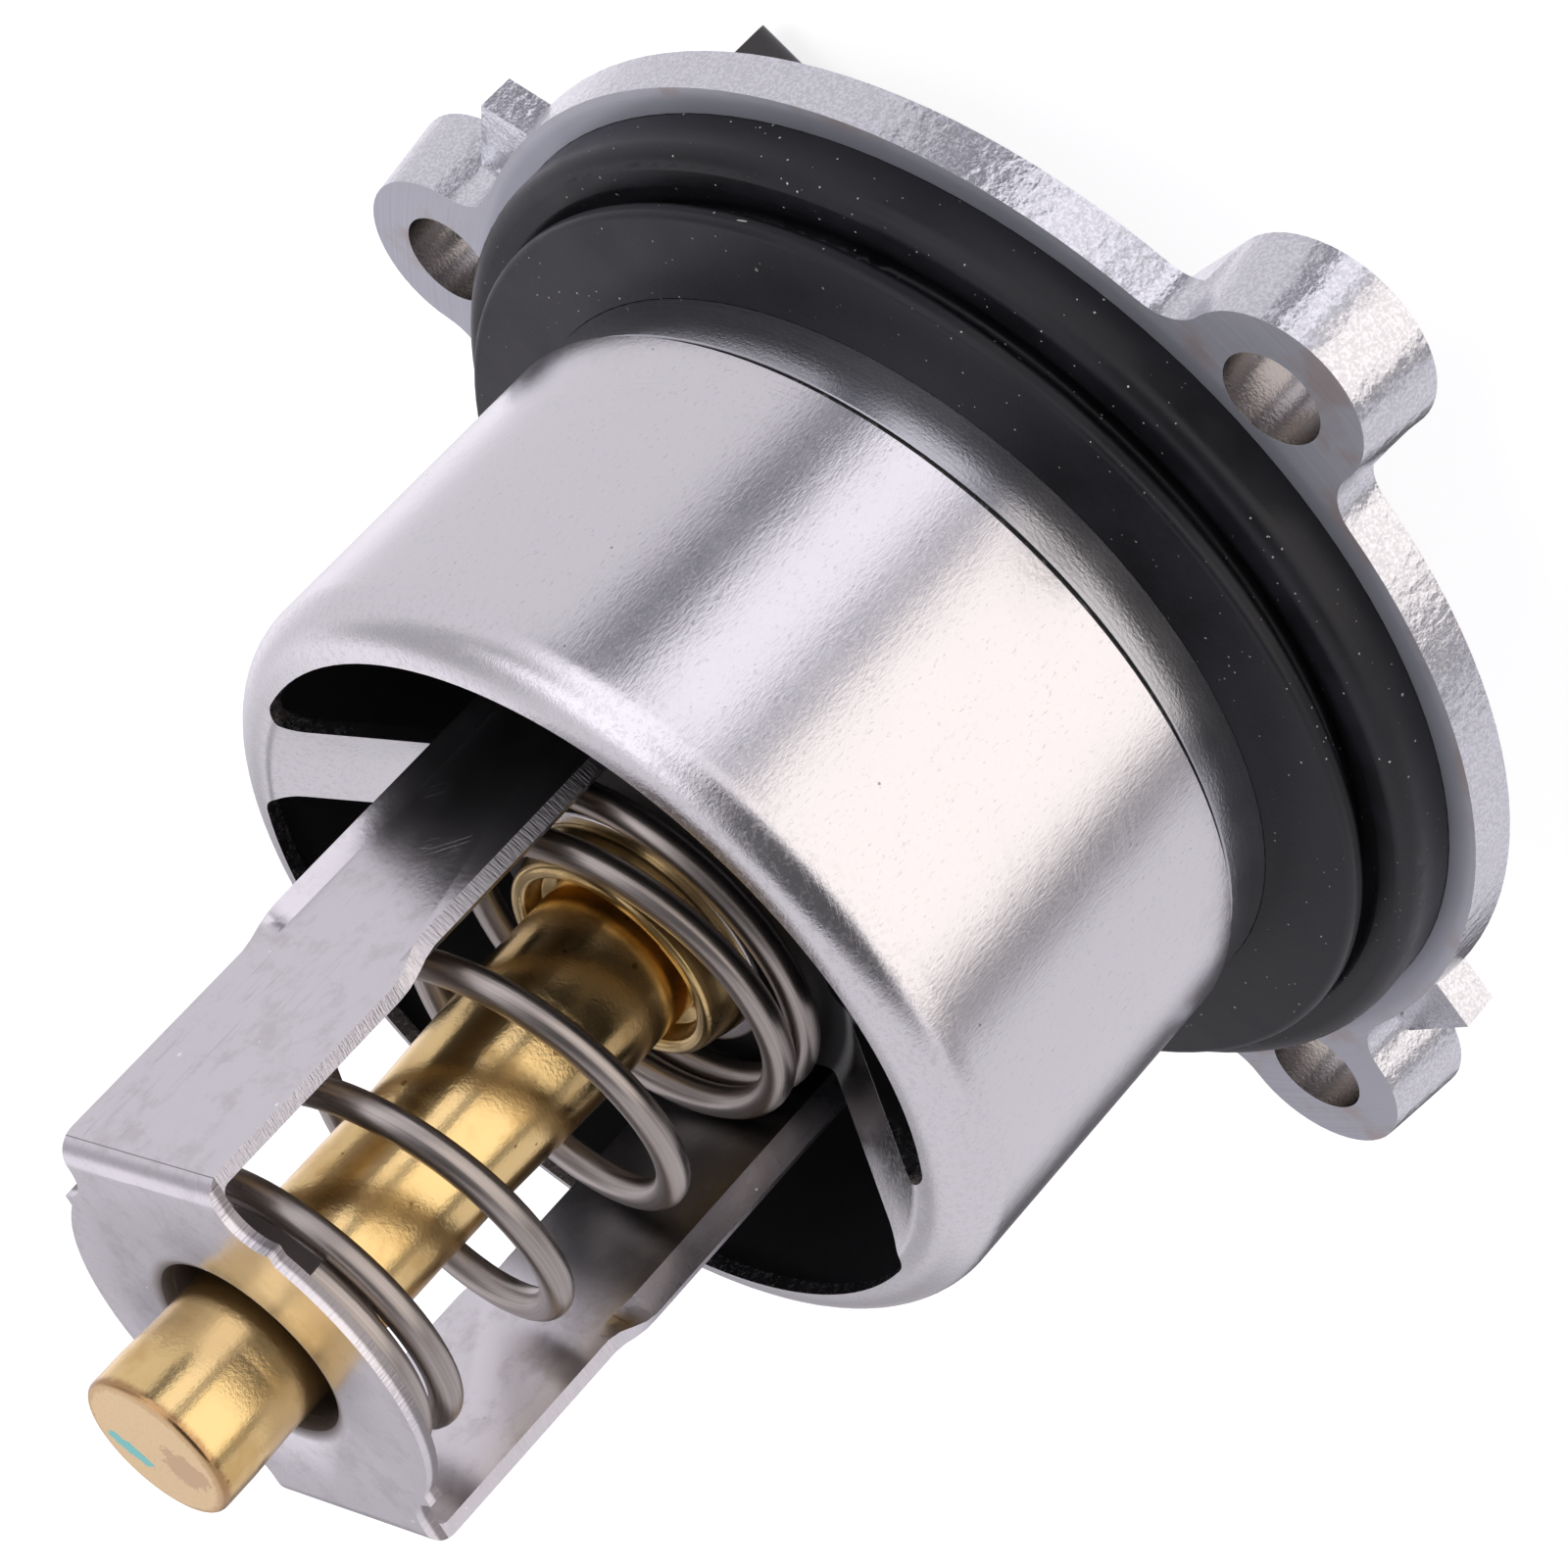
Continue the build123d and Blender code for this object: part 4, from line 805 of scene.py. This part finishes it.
def finish_rubber(name, base, specks, lip=None):
    """Moulded black rubber with a bloom, dust and short fibres, and a rubbed lip if its radius is given."""
    material, tree, shader = new_finish(name, 0.0, 0.5, specular=0.36)
    place = object_place(tree)
    grain = use_group(tree, "grain", Scale=3600.0, Slow_Scale=150.0, Slow_Share=0.4)
    small = use_group(tree, "dust", Scale=1900.0, Size=0.09, Share=specks)
    coarse = use_group(tree, "dust", Scale=700.0, Size=0.06, Share=specks * 0.5)
    bent = turned_place(tree, place, (0.3, 0.5, 0.8), 0.7)
    thin = vectors(tree, "SUBTRACT", stretch(tree, bent, (1.0, 0.14, 1.0)), place)
    fibres = use_group(tree, "dust", Vector=thin, Scale=900.0, Size=0.045, Share=specks * 0.35)
    patches = remap(tree, noise(tree, place, 90.0, 3.0), 0.40, 0.62)
    marks = highest(tree, small.outputs[0], fibres.outputs[0], coarse.outputs[0])
    marks = product(tree, marks, total(tree, product(tree, patches, 0.65), 0.3))
    if lip is not None:
        radius = use_group(tree, "axis_place").outputs["Radius"]
        rubbed = remap(tree, distance_from(tree, radius, lip), *LIP_FADE)
        rubbed = product(tree, rubbed, remap(tree, noise(tree, thin, 2600.0, 4.0, 0.7), 0.50, 0.66))
        worn = product(tree, rubbed, remap(tree, noise(tree, place, 60.0, 2.0), 0.38, 0.62))
        marks = highest(tree, marks, product(tree, worn, 0.40))
    bloom = remap(tree, grain.outputs["Slow"], 0.35, 0.75)
    tint = mix_colours(tree, bloom, base, shade(base, 1.8))
    set_inputs(tree, shader, {
        "Base Color": mix_colours(tree, marks, tint, (0.55, 0.53, 0.48)),
        "Roughness": total(tree, product(tree, bloom, 0.12), 0.36),
        "Normal": bump(tree, grain.outputs["Height"], 0.4, 0.00003),
    })
    return material


def finish_plastic(colours):
    """Moulded black plastic with a fine texture."""
    material, tree, shader = new_finish("moulded_plastic", 0.0, 0.4)
    grain = use_group(tree, "grain", Scale=2200.0, Slow_Scale=120.0, Slow_Share=0.3)
    set_inputs(tree, shader, {
        "Base Color": mix_colours(tree, grain.outputs["Slow"], colours.plastic, shade(colours.plastic, 1.5)),
        "Roughness": total(tree, product(tree, grain.outputs["Slow"], 0.2), 0.26),
        "Normal": bump(tree, grain.outputs["Height"], 0.4, 0.00004),
    })
    return material


def finish_plain(name, base, metallic, roughness):
    """Finish of the small inner pieces: even colour broken by a fine grain."""
    material, tree, shader = new_finish(name, metallic, roughness)
    grain = use_group(tree, "grain", Scale=2600.0, Slow_Scale=400.0, Slow_Share=0.5)
    set_inputs(tree, shader, {
        "Base Color": mix_colours(tree, grain.outputs["Slow"], base, shade(base, 0.8)),
        "Normal": bump(tree, grain.outputs["Height"], 0.3, 0.00002),
    })
    return material


def finish_collar():
    """Stirrup's collar: a near-black throat of painted shade over brown patina, with a plain grey outer side.
    """
    material, tree, shader = new_finish("collar_shade_and_patina", 0.0, 0.6, specular=0.12)
    outer = above(tree, use_group(tree, "axis_place").outputs["Radius"], HOLE_RADIUS + COLLAR_SKIN)
    # Painted shade over brown patina: the throat is near-black and the outer side is plain grey
    tint = mix_colours(tree, outer, (0.030, 0.022, 0.018), (0.17, 0.155, 0.145))
    set_inputs(tree, shader, {"Base Color": tint})
    return material


def dress(node_name, material):
    """Give a fixed piece its finish."""
    piece = frame["nodes"][node_name]
    for slot_of in piece.material_slots:
        slot_of.material = material


def place_object(name, data):
    """Object with its data, linked to the scene."""
    made = bpy.data.objects.new(name, data)
    bpy.context.scene.collection.objects.link(made)
    return made


def bake_mesh(piece):
    """Turn an evaluated object into a plain mesh with its modifiers gone."""
    depsgraph = bpy.context.evaluated_depsgraph_get()
    shown = piece.evaluated_get(depsgraph)
    mesh = bpy.data.meshes.new_from_object(shown, preserve_all_data_layers=True, depsgraph=depsgraph)
    name = piece.name
    bpy.data.objects.remove(piece)
    made = place_object(name, mesh)
    bpy.context.view_layer.update()
    return made


# Fixed pieces with rounded edges


def rounded_copy(node_name, width, name):
    """Copy of a fixed piece whose sharp edges are rounded."""
    source = frame["nodes"][node_name]
    net = bmesh.new()
    net.from_mesh(source.data)
    bmesh.ops.remove_doubles(net, verts=net.verts, dist=WELD_DISTANCE)
    bmesh.ops.dissolve_limit(net, angle_limit=FLAT_ANGLE, verts=net.verts, edges=net.edges)
    places = [vertex.co.copy() for vertex in net.verts]
    net.verts.index_update()
    faces = [[vertex.index for vertex in face.verts] for face in net.faces]
    net.free()
    mesh = bpy.data.meshes.new(name)
    mesh.from_pydata(places, [], faces)
    mesh.shade_smooth()
    mesh.materials.append(source.material_slots[0].material)
    piece = place_object(name, mesh)
    bevel = piece.modifiers.new("edges", "BEVEL")
    bevel.width = width
    bevel.segments = EDGE_STEPS
    bevel.limit_method = "ANGLE"
    bevel.angle_limit = SHARP_ANGLE
    bevel.harden_normals = True
    made = bake_mesh(piece)
    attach(made, source["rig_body"])
    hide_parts(node_name)
    return made


# Collar drawn down round the stirrup's hole


def make_collar_piece(material):
    """Short tapered tube that hangs from the disc, a ring of sections joined side to side."""
    size = len(COLLAR_SECTION)
    places, faces = [], []
    for side in range(COLLAR_SIDES):
        turn = 2 * math.pi * side / COLLAR_SIDES
        next_side = (side + 1) % COLLAR_SIDES
        for row, (step, drop) in enumerate(COLLAR_SECTION):
            radius, next_row = HOLE_RADIUS + step, (row + 1) % size
            places.append((radius * math.cos(turn), radius * math.sin(turn), STIRRUP_HIGH.z - drop))
            first, second = side * size, next_side * size
            faces.append((first + row, first + next_row, second + next_row, second + row))
    mesh = bpy.data.meshes.new("stirrup_collar")
    mesh.from_pydata(places, [], faces)
    net = bmesh.new()
    net.from_mesh(mesh)
    bmesh.ops.recalc_face_normals(net, faces=net.faces)
    net.to_mesh(mesh)
    net.free()
    mesh.shade_smooth()
    mesh.materials.append(material)
    return place_object("stirrup_collar", mesh)


# Return spring


def spring_points(sizes):
    """Centre line of the wire, from the stirrup's disc to the sleeve's hub."""
    top = SPRING_HIGH.z - sizes.wire_radius
    bottom = SPRING_LOW.z + sizes.wire_radius
    closed = 2 * sizes.wire_radius + sizes.closed_gap
    spent = closed * (sizes.small_closed + sizes.large_closed)
    spent += (closed + sizes.pitch) / 2 * (sizes.small_ramp + sizes.large_ramp)
    active = (top - bottom - spent) / sizes.pitch
    spans = [
        (sizes.small_closed, closed, closed), (sizes.small_ramp, closed, sizes.pitch),
        (active, sizes.pitch, sizes.pitch), (sizes.large_ramp, sizes.pitch, closed),
        (sizes.large_closed, closed, closed),
    ]
    all_turns = sum(turns for turns, first, last in spans)
    count = round(all_turns * sizes.steps)
    points = []
    for index in range(count + 1):
        turns = all_turns * index / count
        height, left = top, turns
        for span, first, last in spans:
            part = min(left, span)
            height -= part * first + (last - first) * part * part / (2 * span)
            left -= part
        cone = (turns - sizes.small_closed) / (all_turns - sizes.small_closed - sizes.large_closed)
        radius = sizes.small_radius + (sizes.large_radius - sizes.small_radius) * min(max(cone, 0), 1)
        turn = sizes.start - 2 * math.pi * turns
        points.append(Vector((radius * math.cos(turn), radius * math.sin(turn), height)))
    return points


def store(tree, geometry, name, value, kind="FLOAT"):
    """Geometry that keeps a value on its points under a name."""
    kept = add_node(
        tree, "GeometryNodeStoreNamedAttribute", {"Geometry": geometry, "Name": name, "Value": value},
        data_type=kind, domain="POINT",
    )
    return kept.outputs[0]


def stored(tree, name):
    return add_node(tree, "GeometryNodeInputNamedAttribute", {"Name": name}, data_type="FLOAT").outputs[0]


def wire_tree():
    """Geometry nodes that lay a round wire along a curve and mark length and girth on it."""
    tree = bpy.data.node_groups.new("round_wire", "GeometryNodeTree")
    sockets = [("Geometry", "Geometry"), ("Wire Radius", "Float"), ("Sides", "Int"), ("Finish", "Material")]
    for label, kind in sockets:
        tree.interface.new_socket(label, in_out="INPUT", socket_type="NodeSocket" + kind)
    tree.interface.new_socket("Geometry", in_out="OUTPUT", socket_type="NodeSocketGeometry")
    given, out = tree.nodes.new("NodeGroupInput"), tree.nodes.new("NodeGroupOutput")
    along = add_node(tree, "GeometryNodeSplineParameter").outputs["Length"]
    line = store(tree, given.outputs["Geometry"], "along", along)
    ring = {"Resolution": given.outputs["Sides"], "Radius": given.outputs["Wire Radius"]}
    section = add_node(tree, "GeometryNodeCurvePrimitiveCircle", ring).outputs[0]
    section = store(tree, section, "girth", add_node(tree, "GeometryNodeSplineParameter").outputs["Factor"])
    sweep = {"Curve": line, "Profile Curve": section, "Fill Caps": True}
    tube = add_node(tree, "GeometryNodeCurveToMesh", sweep).outputs[0]
    turn = product(tree, stored(tree, "girth"), 2 * math.pi)
    sides = {
        "X": product(tree, stored(tree, "along"), WIRE_GRAIN), "Y": maths(tree, "SINE", turn),
        "Z": maths(tree, "COSINE", turn),
    }
    place = add_node(tree, "ShaderNodeCombineXYZ", sides).outputs[0]
    marked = store(tree, tube, "wire_place", place, "FLOAT_VECTOR")
    smooth = add_node(tree, "GeometryNodeSetShadeSmooth", {"Geometry": marked}).outputs[0]
    real = add_node(tree, "GeometryNodeRealizeInstances", {"Geometry": smooth}).outputs[0]
    dressed = {"Geometry": real, "Material": given.outputs["Finish"]}
    set_inputs(tree, out, {0: add_node(tree, "GeometryNodeSetMaterial", dressed).outputs[0]})
    return tree


def make_spring_piece(sizes, material):
    """Return spring laid along its centre line."""
    curve = bpy.data.curves.new("return_spring_line", "CURVE")
    curve.dimensions = "3D"
    points = spring_points(sizes)
    spline = curve.splines.new("POLY")
    spline.points.add(len(points) - 1)
    for target, place in zip(spline.points, points):
        target.co = (*place, 1)
    piece = place_object("return_spring_coil", curve)
    modifier = piece.modifiers.new("wire", "NODES")
    modifier.node_group = wire_tree()
    values = {"Wire Radius": sizes.wire_radius, "Sides": sizes.sides, "Finish": material}
    for socket in modifier.node_group.interface.items_tree:
        if socket.item_type == "SOCKET" and socket.in_out == "INPUT" and socket.name in values:
            modifier[socket.identifier] = values[socket.name]
    return bake_mesh(piece)


# Stage


def make_camera(settings):
    data = bpy.data.cameras.new("camera")
    data.lens = settings.lens
    data.sensor_width = SENSOR_WIDTH
    data.shift_x = settings.shift_x
    data.shift_y = settings.shift_y
    data.clip_start = NEAR_LIMIT
    camera = place_object("camera", data)
    turn = Vector(settings.camera_aim).to_track_quat("-Z", "Y").to_matrix()
    turn = turn @ Matrix.Rotation(settings.camera_roll, 3, "Z")
    camera.matrix_world = Matrix.Translation(settings.camera_place) @ turn.to_4x4()
    bpy.context.scene.camera = camera


def make_lamp(settings):
    """Soft square lamp that faces the object, and that the metal doesn't mirror."""
    data = bpy.data.lights.new("key_lamp", "AREA")
    data.size = settings.lamp_size
    data.energy = settings.lamp_power
    lamp = place_object("key_lamp", data)
    middle = Vector(LAMP_AIM)
    place = middle + Vector(settings.lamp_direction).normalized() * settings.lamp_distance
    turn = (middle - place).to_track_quat("-Z", "Y").to_matrix()
    lamp.matrix_world = Matrix.Translation(place) @ turn.to_4x4()
    lamp.visible_glossy = False


def make_card(tree, azimuth, elevation, card, under):
    """One patch of the surroundings laid over those before it."""
    middle, half, low, high, soft = (math.radians(value) for value in card[:5])
    level, tint = card[5:]
    turn = {0: maths(tree, "SUBTRACT", azimuth, middle), 1: math.pi, 2: -math.pi}
    away = maths(tree, "ABSOLUTE", add_node(tree, "ShaderNodeMath", turn, operation="WRAP").outputs[0])
    cover = product(
        tree, remap(tree, away, half - soft, half + soft, 1.0, 0.0),
        remap(tree, elevation, low - soft, low + soft),
        remap(tree, elevation, high - soft, high + soft, 1.0, 0.0),
    )
    return mix_colours(tree, cover, under, [part * level for part in tint])


def make_world(settings):
    """Pale surroundings with soft boxes and dark cards, white where the camera looks at them."""
    world = bpy.data.worlds.new("surroundings")
    world.use_nodes = True
    bpy.context.scene.world = world
    tree = world.node_tree
    place = add_node(tree, "ShaderNodeTexCoord").outputs["Generated"]
    x, y, z = add_node(tree, "ShaderNodeSeparateXYZ", {0: place}).outputs
    azimuth, elevation = maths(tree, "ARCTAN2", y, x), maths(tree, "ARCSINE", z)
    lit = [part * settings.surroundings for part in SOFT_COOL]
    for card in CARDS.values():
        lit = make_card(tree, azimuth, elevation, card, lit)
    seen = add_node(tree, "ShaderNodeLightPath").outputs["Is Camera Ray"]
    set_inputs(tree, tree.nodes["Background"], {"Color": mix_colours(tree, seen, lit, (1, 1, 1))})


def make_floor(settings):
    """Plain pale floor under the lowest piece, brighter for the camera, and not mirrored by the metal."""
    low = min(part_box(name)[0].z for name in frame["nodes"]) - settings.floor_drop
    half = settings.floor_size / 2
    places = [(-half, -half, low), (half, -half, low), (half, half, low), (-half, half, low)]
    mesh = bpy.data.meshes.new("floor")
    mesh.from_pydata(places, [], [(0, 1, 2, 3)])
    floor = place_object("floor", mesh)
    floor.visible_glossy = False
    material, tree, shader = new_finish("floor_paper", 0.0, 0.9, specular=0.0)
    rays = add_node(tree, "ShaderNodeLightPath")
    seen = highest(tree, rays.outputs["Is Camera Ray"], rays.outputs["Is Transmission Ray"])
    tone = settings.floor_tone
    set_inputs(tree, shader, {
        "Base Color": (tone, tone, tone, 1),
        "Emission Color": (1, 1, 1, 1),
        "Emission Strength": product(tree, seen, settings.floor_glow),
    })
    mesh.materials.append(material)


# Operators


class THERMOSTAT_OT_effects(bpy.types.Operator):
    """Build the effects that several finishes share"""

    bl_idname = "thermostat.effects"
    bl_label = "Shared effects"

    def execute(self, context):
        make_axis_group()
        make_turned_group()
        make_drawn_group()
        make_grain_group()
        make_scuff_group()
        make_scratch_group()
        make_dust_group()
        return {"FINISHED"}


class THERMOSTAT_OT_finishes(bpy.types.Operator):
    """Build the finishes and give them to the fixed pieces"""

    bl_idname = "thermostat.finishes"
    bl_label = "Finishes"

    def execute(self, context):
        colours = context.scene.thermostat_colours
        sheet = finish_pressed_steel(colours, context.scene.thermostat_edges.stirrup_azimuth)
        turned = finish_turned_brass(colours)
        seal = finish_rubber("seal_rubber", colours.rubber, 0.32)
        seat = finish_rubber("seat_rubber", colours.rubber, 0.30, SEAT_LIP)
        boot = finish_rubber("boot_rubber", colours.rubber, 0.02)
        pin = finish_plain("ground_steel", (0.6, 0.6, 0.6), 1.0, 0.25)
        copper = finish_plain("bare_copper", colours.copper, 1.0, 0.3)
        tinned = finish_plain("tinned_blade", (0.72, 0.71, 0.68), 1.0, 0.3)
        wax = finish_plain("wax", (0.72, 0.66, 0.48), 0.0, 0.5)
        ceramic = finish_plain("ceramic", (0.8, 0.78, 0.72), 0.0, 0.6)
        washer = finish_plain("washer_plastic", (0.8, 0.79, 0.75), 0.0, 0.4)
        given = {
            "sleeve": finish_drawn_aluminium(colours), "cover": finish_cast_aluminium(colours),
            "stirrup": sheet, "retaining_clip": sheet, "element_body": finish_brass(colours),
            "element_collar": turned, "element_guide": turned, "flange_seal": seal, "seat_seal": seat,
            "squeeze_boot": boot, "plug_seal": boot, "connector_housing": finish_plastic(colours),
            "heater_pin": pin, "heating_resistor": ceramic, "lead_wire_left": copper,
            "lead_wire_right": copper, "terminal_left": tinned, "terminal_right": tinned, "wax_charge": wax,
            "guide_washer": washer,
        }
        for name, material in given.items():
            dress(name, material)
        return {"FINISHED"}


class THERMOSTAT_OT_edges(bpy.types.Operator):
    """Round the edges of the cast, pressed and moulded pieces"""

    bl_idname = "thermostat.edges"
    bl_label = "Rounded edges"

    def execute(self, context):
        sizes = context.scene.thermostat_edges
        rounded_copy("stirrup", sizes.stirrup, "stirrup_sheet")
        rounded_copy("cover", sizes.cover, "cover_casting")
        rounded_copy("sleeve", sizes.sleeve, "sleeve_drawn")
        rounded_copy("connector_housing", sizes.housing, "connector_moulding")
        rounded_copy("retaining_clip", sizes.clip, "retaining_fork")
        return {"FINISHED"}


class THERMOSTAT_OT_collar(bpy.types.Operator):
    """Build the collar of the stirrup's hole"""

    bl_idname = "thermostat.collar"
    bl_label = "Stirrup's collar"

    def execute(self, context):
        collar = make_collar_piece(finish_collar())
        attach(collar, "housing")
        return {"FINISHED"}


class THERMOSTAT_OT_spring(bpy.types.Operator):
    """Build the return spring"""

    bl_idname = "thermostat.spring"
    bl_label = "Return spring"

    def execute(self, context):
        material = finish_spring_wire(context.scene.thermostat_colours)
        piece = make_spring_piece(context.scene.thermostat_spring, material)
        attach(piece, "housing")
        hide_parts("return_spring")
        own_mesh(piece)
        return {"FINISHED"}


class THERMOSTAT_OT_stage(bpy.types.Operator):
    """Build the camera, the surroundings, the floor and the lamp"""

    bl_idname = "thermostat.stage"
    bl_label = "Stage"

    def execute(self, context):
        settings = context.scene.thermostat_stage
        context.scene.view_settings.view_transform = "Standard"
        make_camera(settings)
        make_world(settings)
        make_floor(settings)
        make_lamp(settings)
        return {"FINISHED"}


class THERMOSTAT_PT_panel(bpy.types.Panel):
    """Sizes and operators of the thermostat"""

    bl_label = "Engine thermostat"
    bl_space_type = "VIEW_3D"
    bl_region_type = "UI"
    bl_category = "Thermostat"

    def draw(self, context):
        for name, group in GROUPS.items():
            column = self.layout.box().column()
            column.label(text=group.__doc__)
            for label in group.__annotations__:
                column.prop(getattr(context.scene, name), label)
        for operator in OPERATORS:
            self.layout.operator(operator.bl_idname)


GROUPS = {
    "thermostat_colours": FinishColours, "thermostat_spring": SpringSizes, "thermostat_edges": EdgeSizes,
    "thermostat_stage": StageSettings,
}
OPERATORS = (
    THERMOSTAT_OT_effects, THERMOSTAT_OT_finishes, THERMOSTAT_OT_edges, THERMOSTAT_OT_collar,
    THERMOSTAT_OT_spring, THERMOSTAT_OT_stage,
)


def register():
    for made in (*GROUPS.values(), *OPERATORS, THERMOSTAT_PT_panel):
        bpy.utils.register_class(made)
    for name, group in GROUPS.items():
        setattr(bpy.types.Scene, name, bpy.props.PointerProperty(type=group))


def unregister():
    for name in GROUPS:
        delattr(bpy.types.Scene, name)
    for made in reversed((*GROUPS.values(), *OPERATORS, THERMOSTAT_PT_panel)):
        bpy.utils.unregister_class(made)


def main():
    register()
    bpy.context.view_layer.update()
    for operator in OPERATORS:
        group, name = operator.bl_idname.split(".")
        getattr(getattr(bpy.ops, group), name)()


if __name__ == "__main__":
    main()
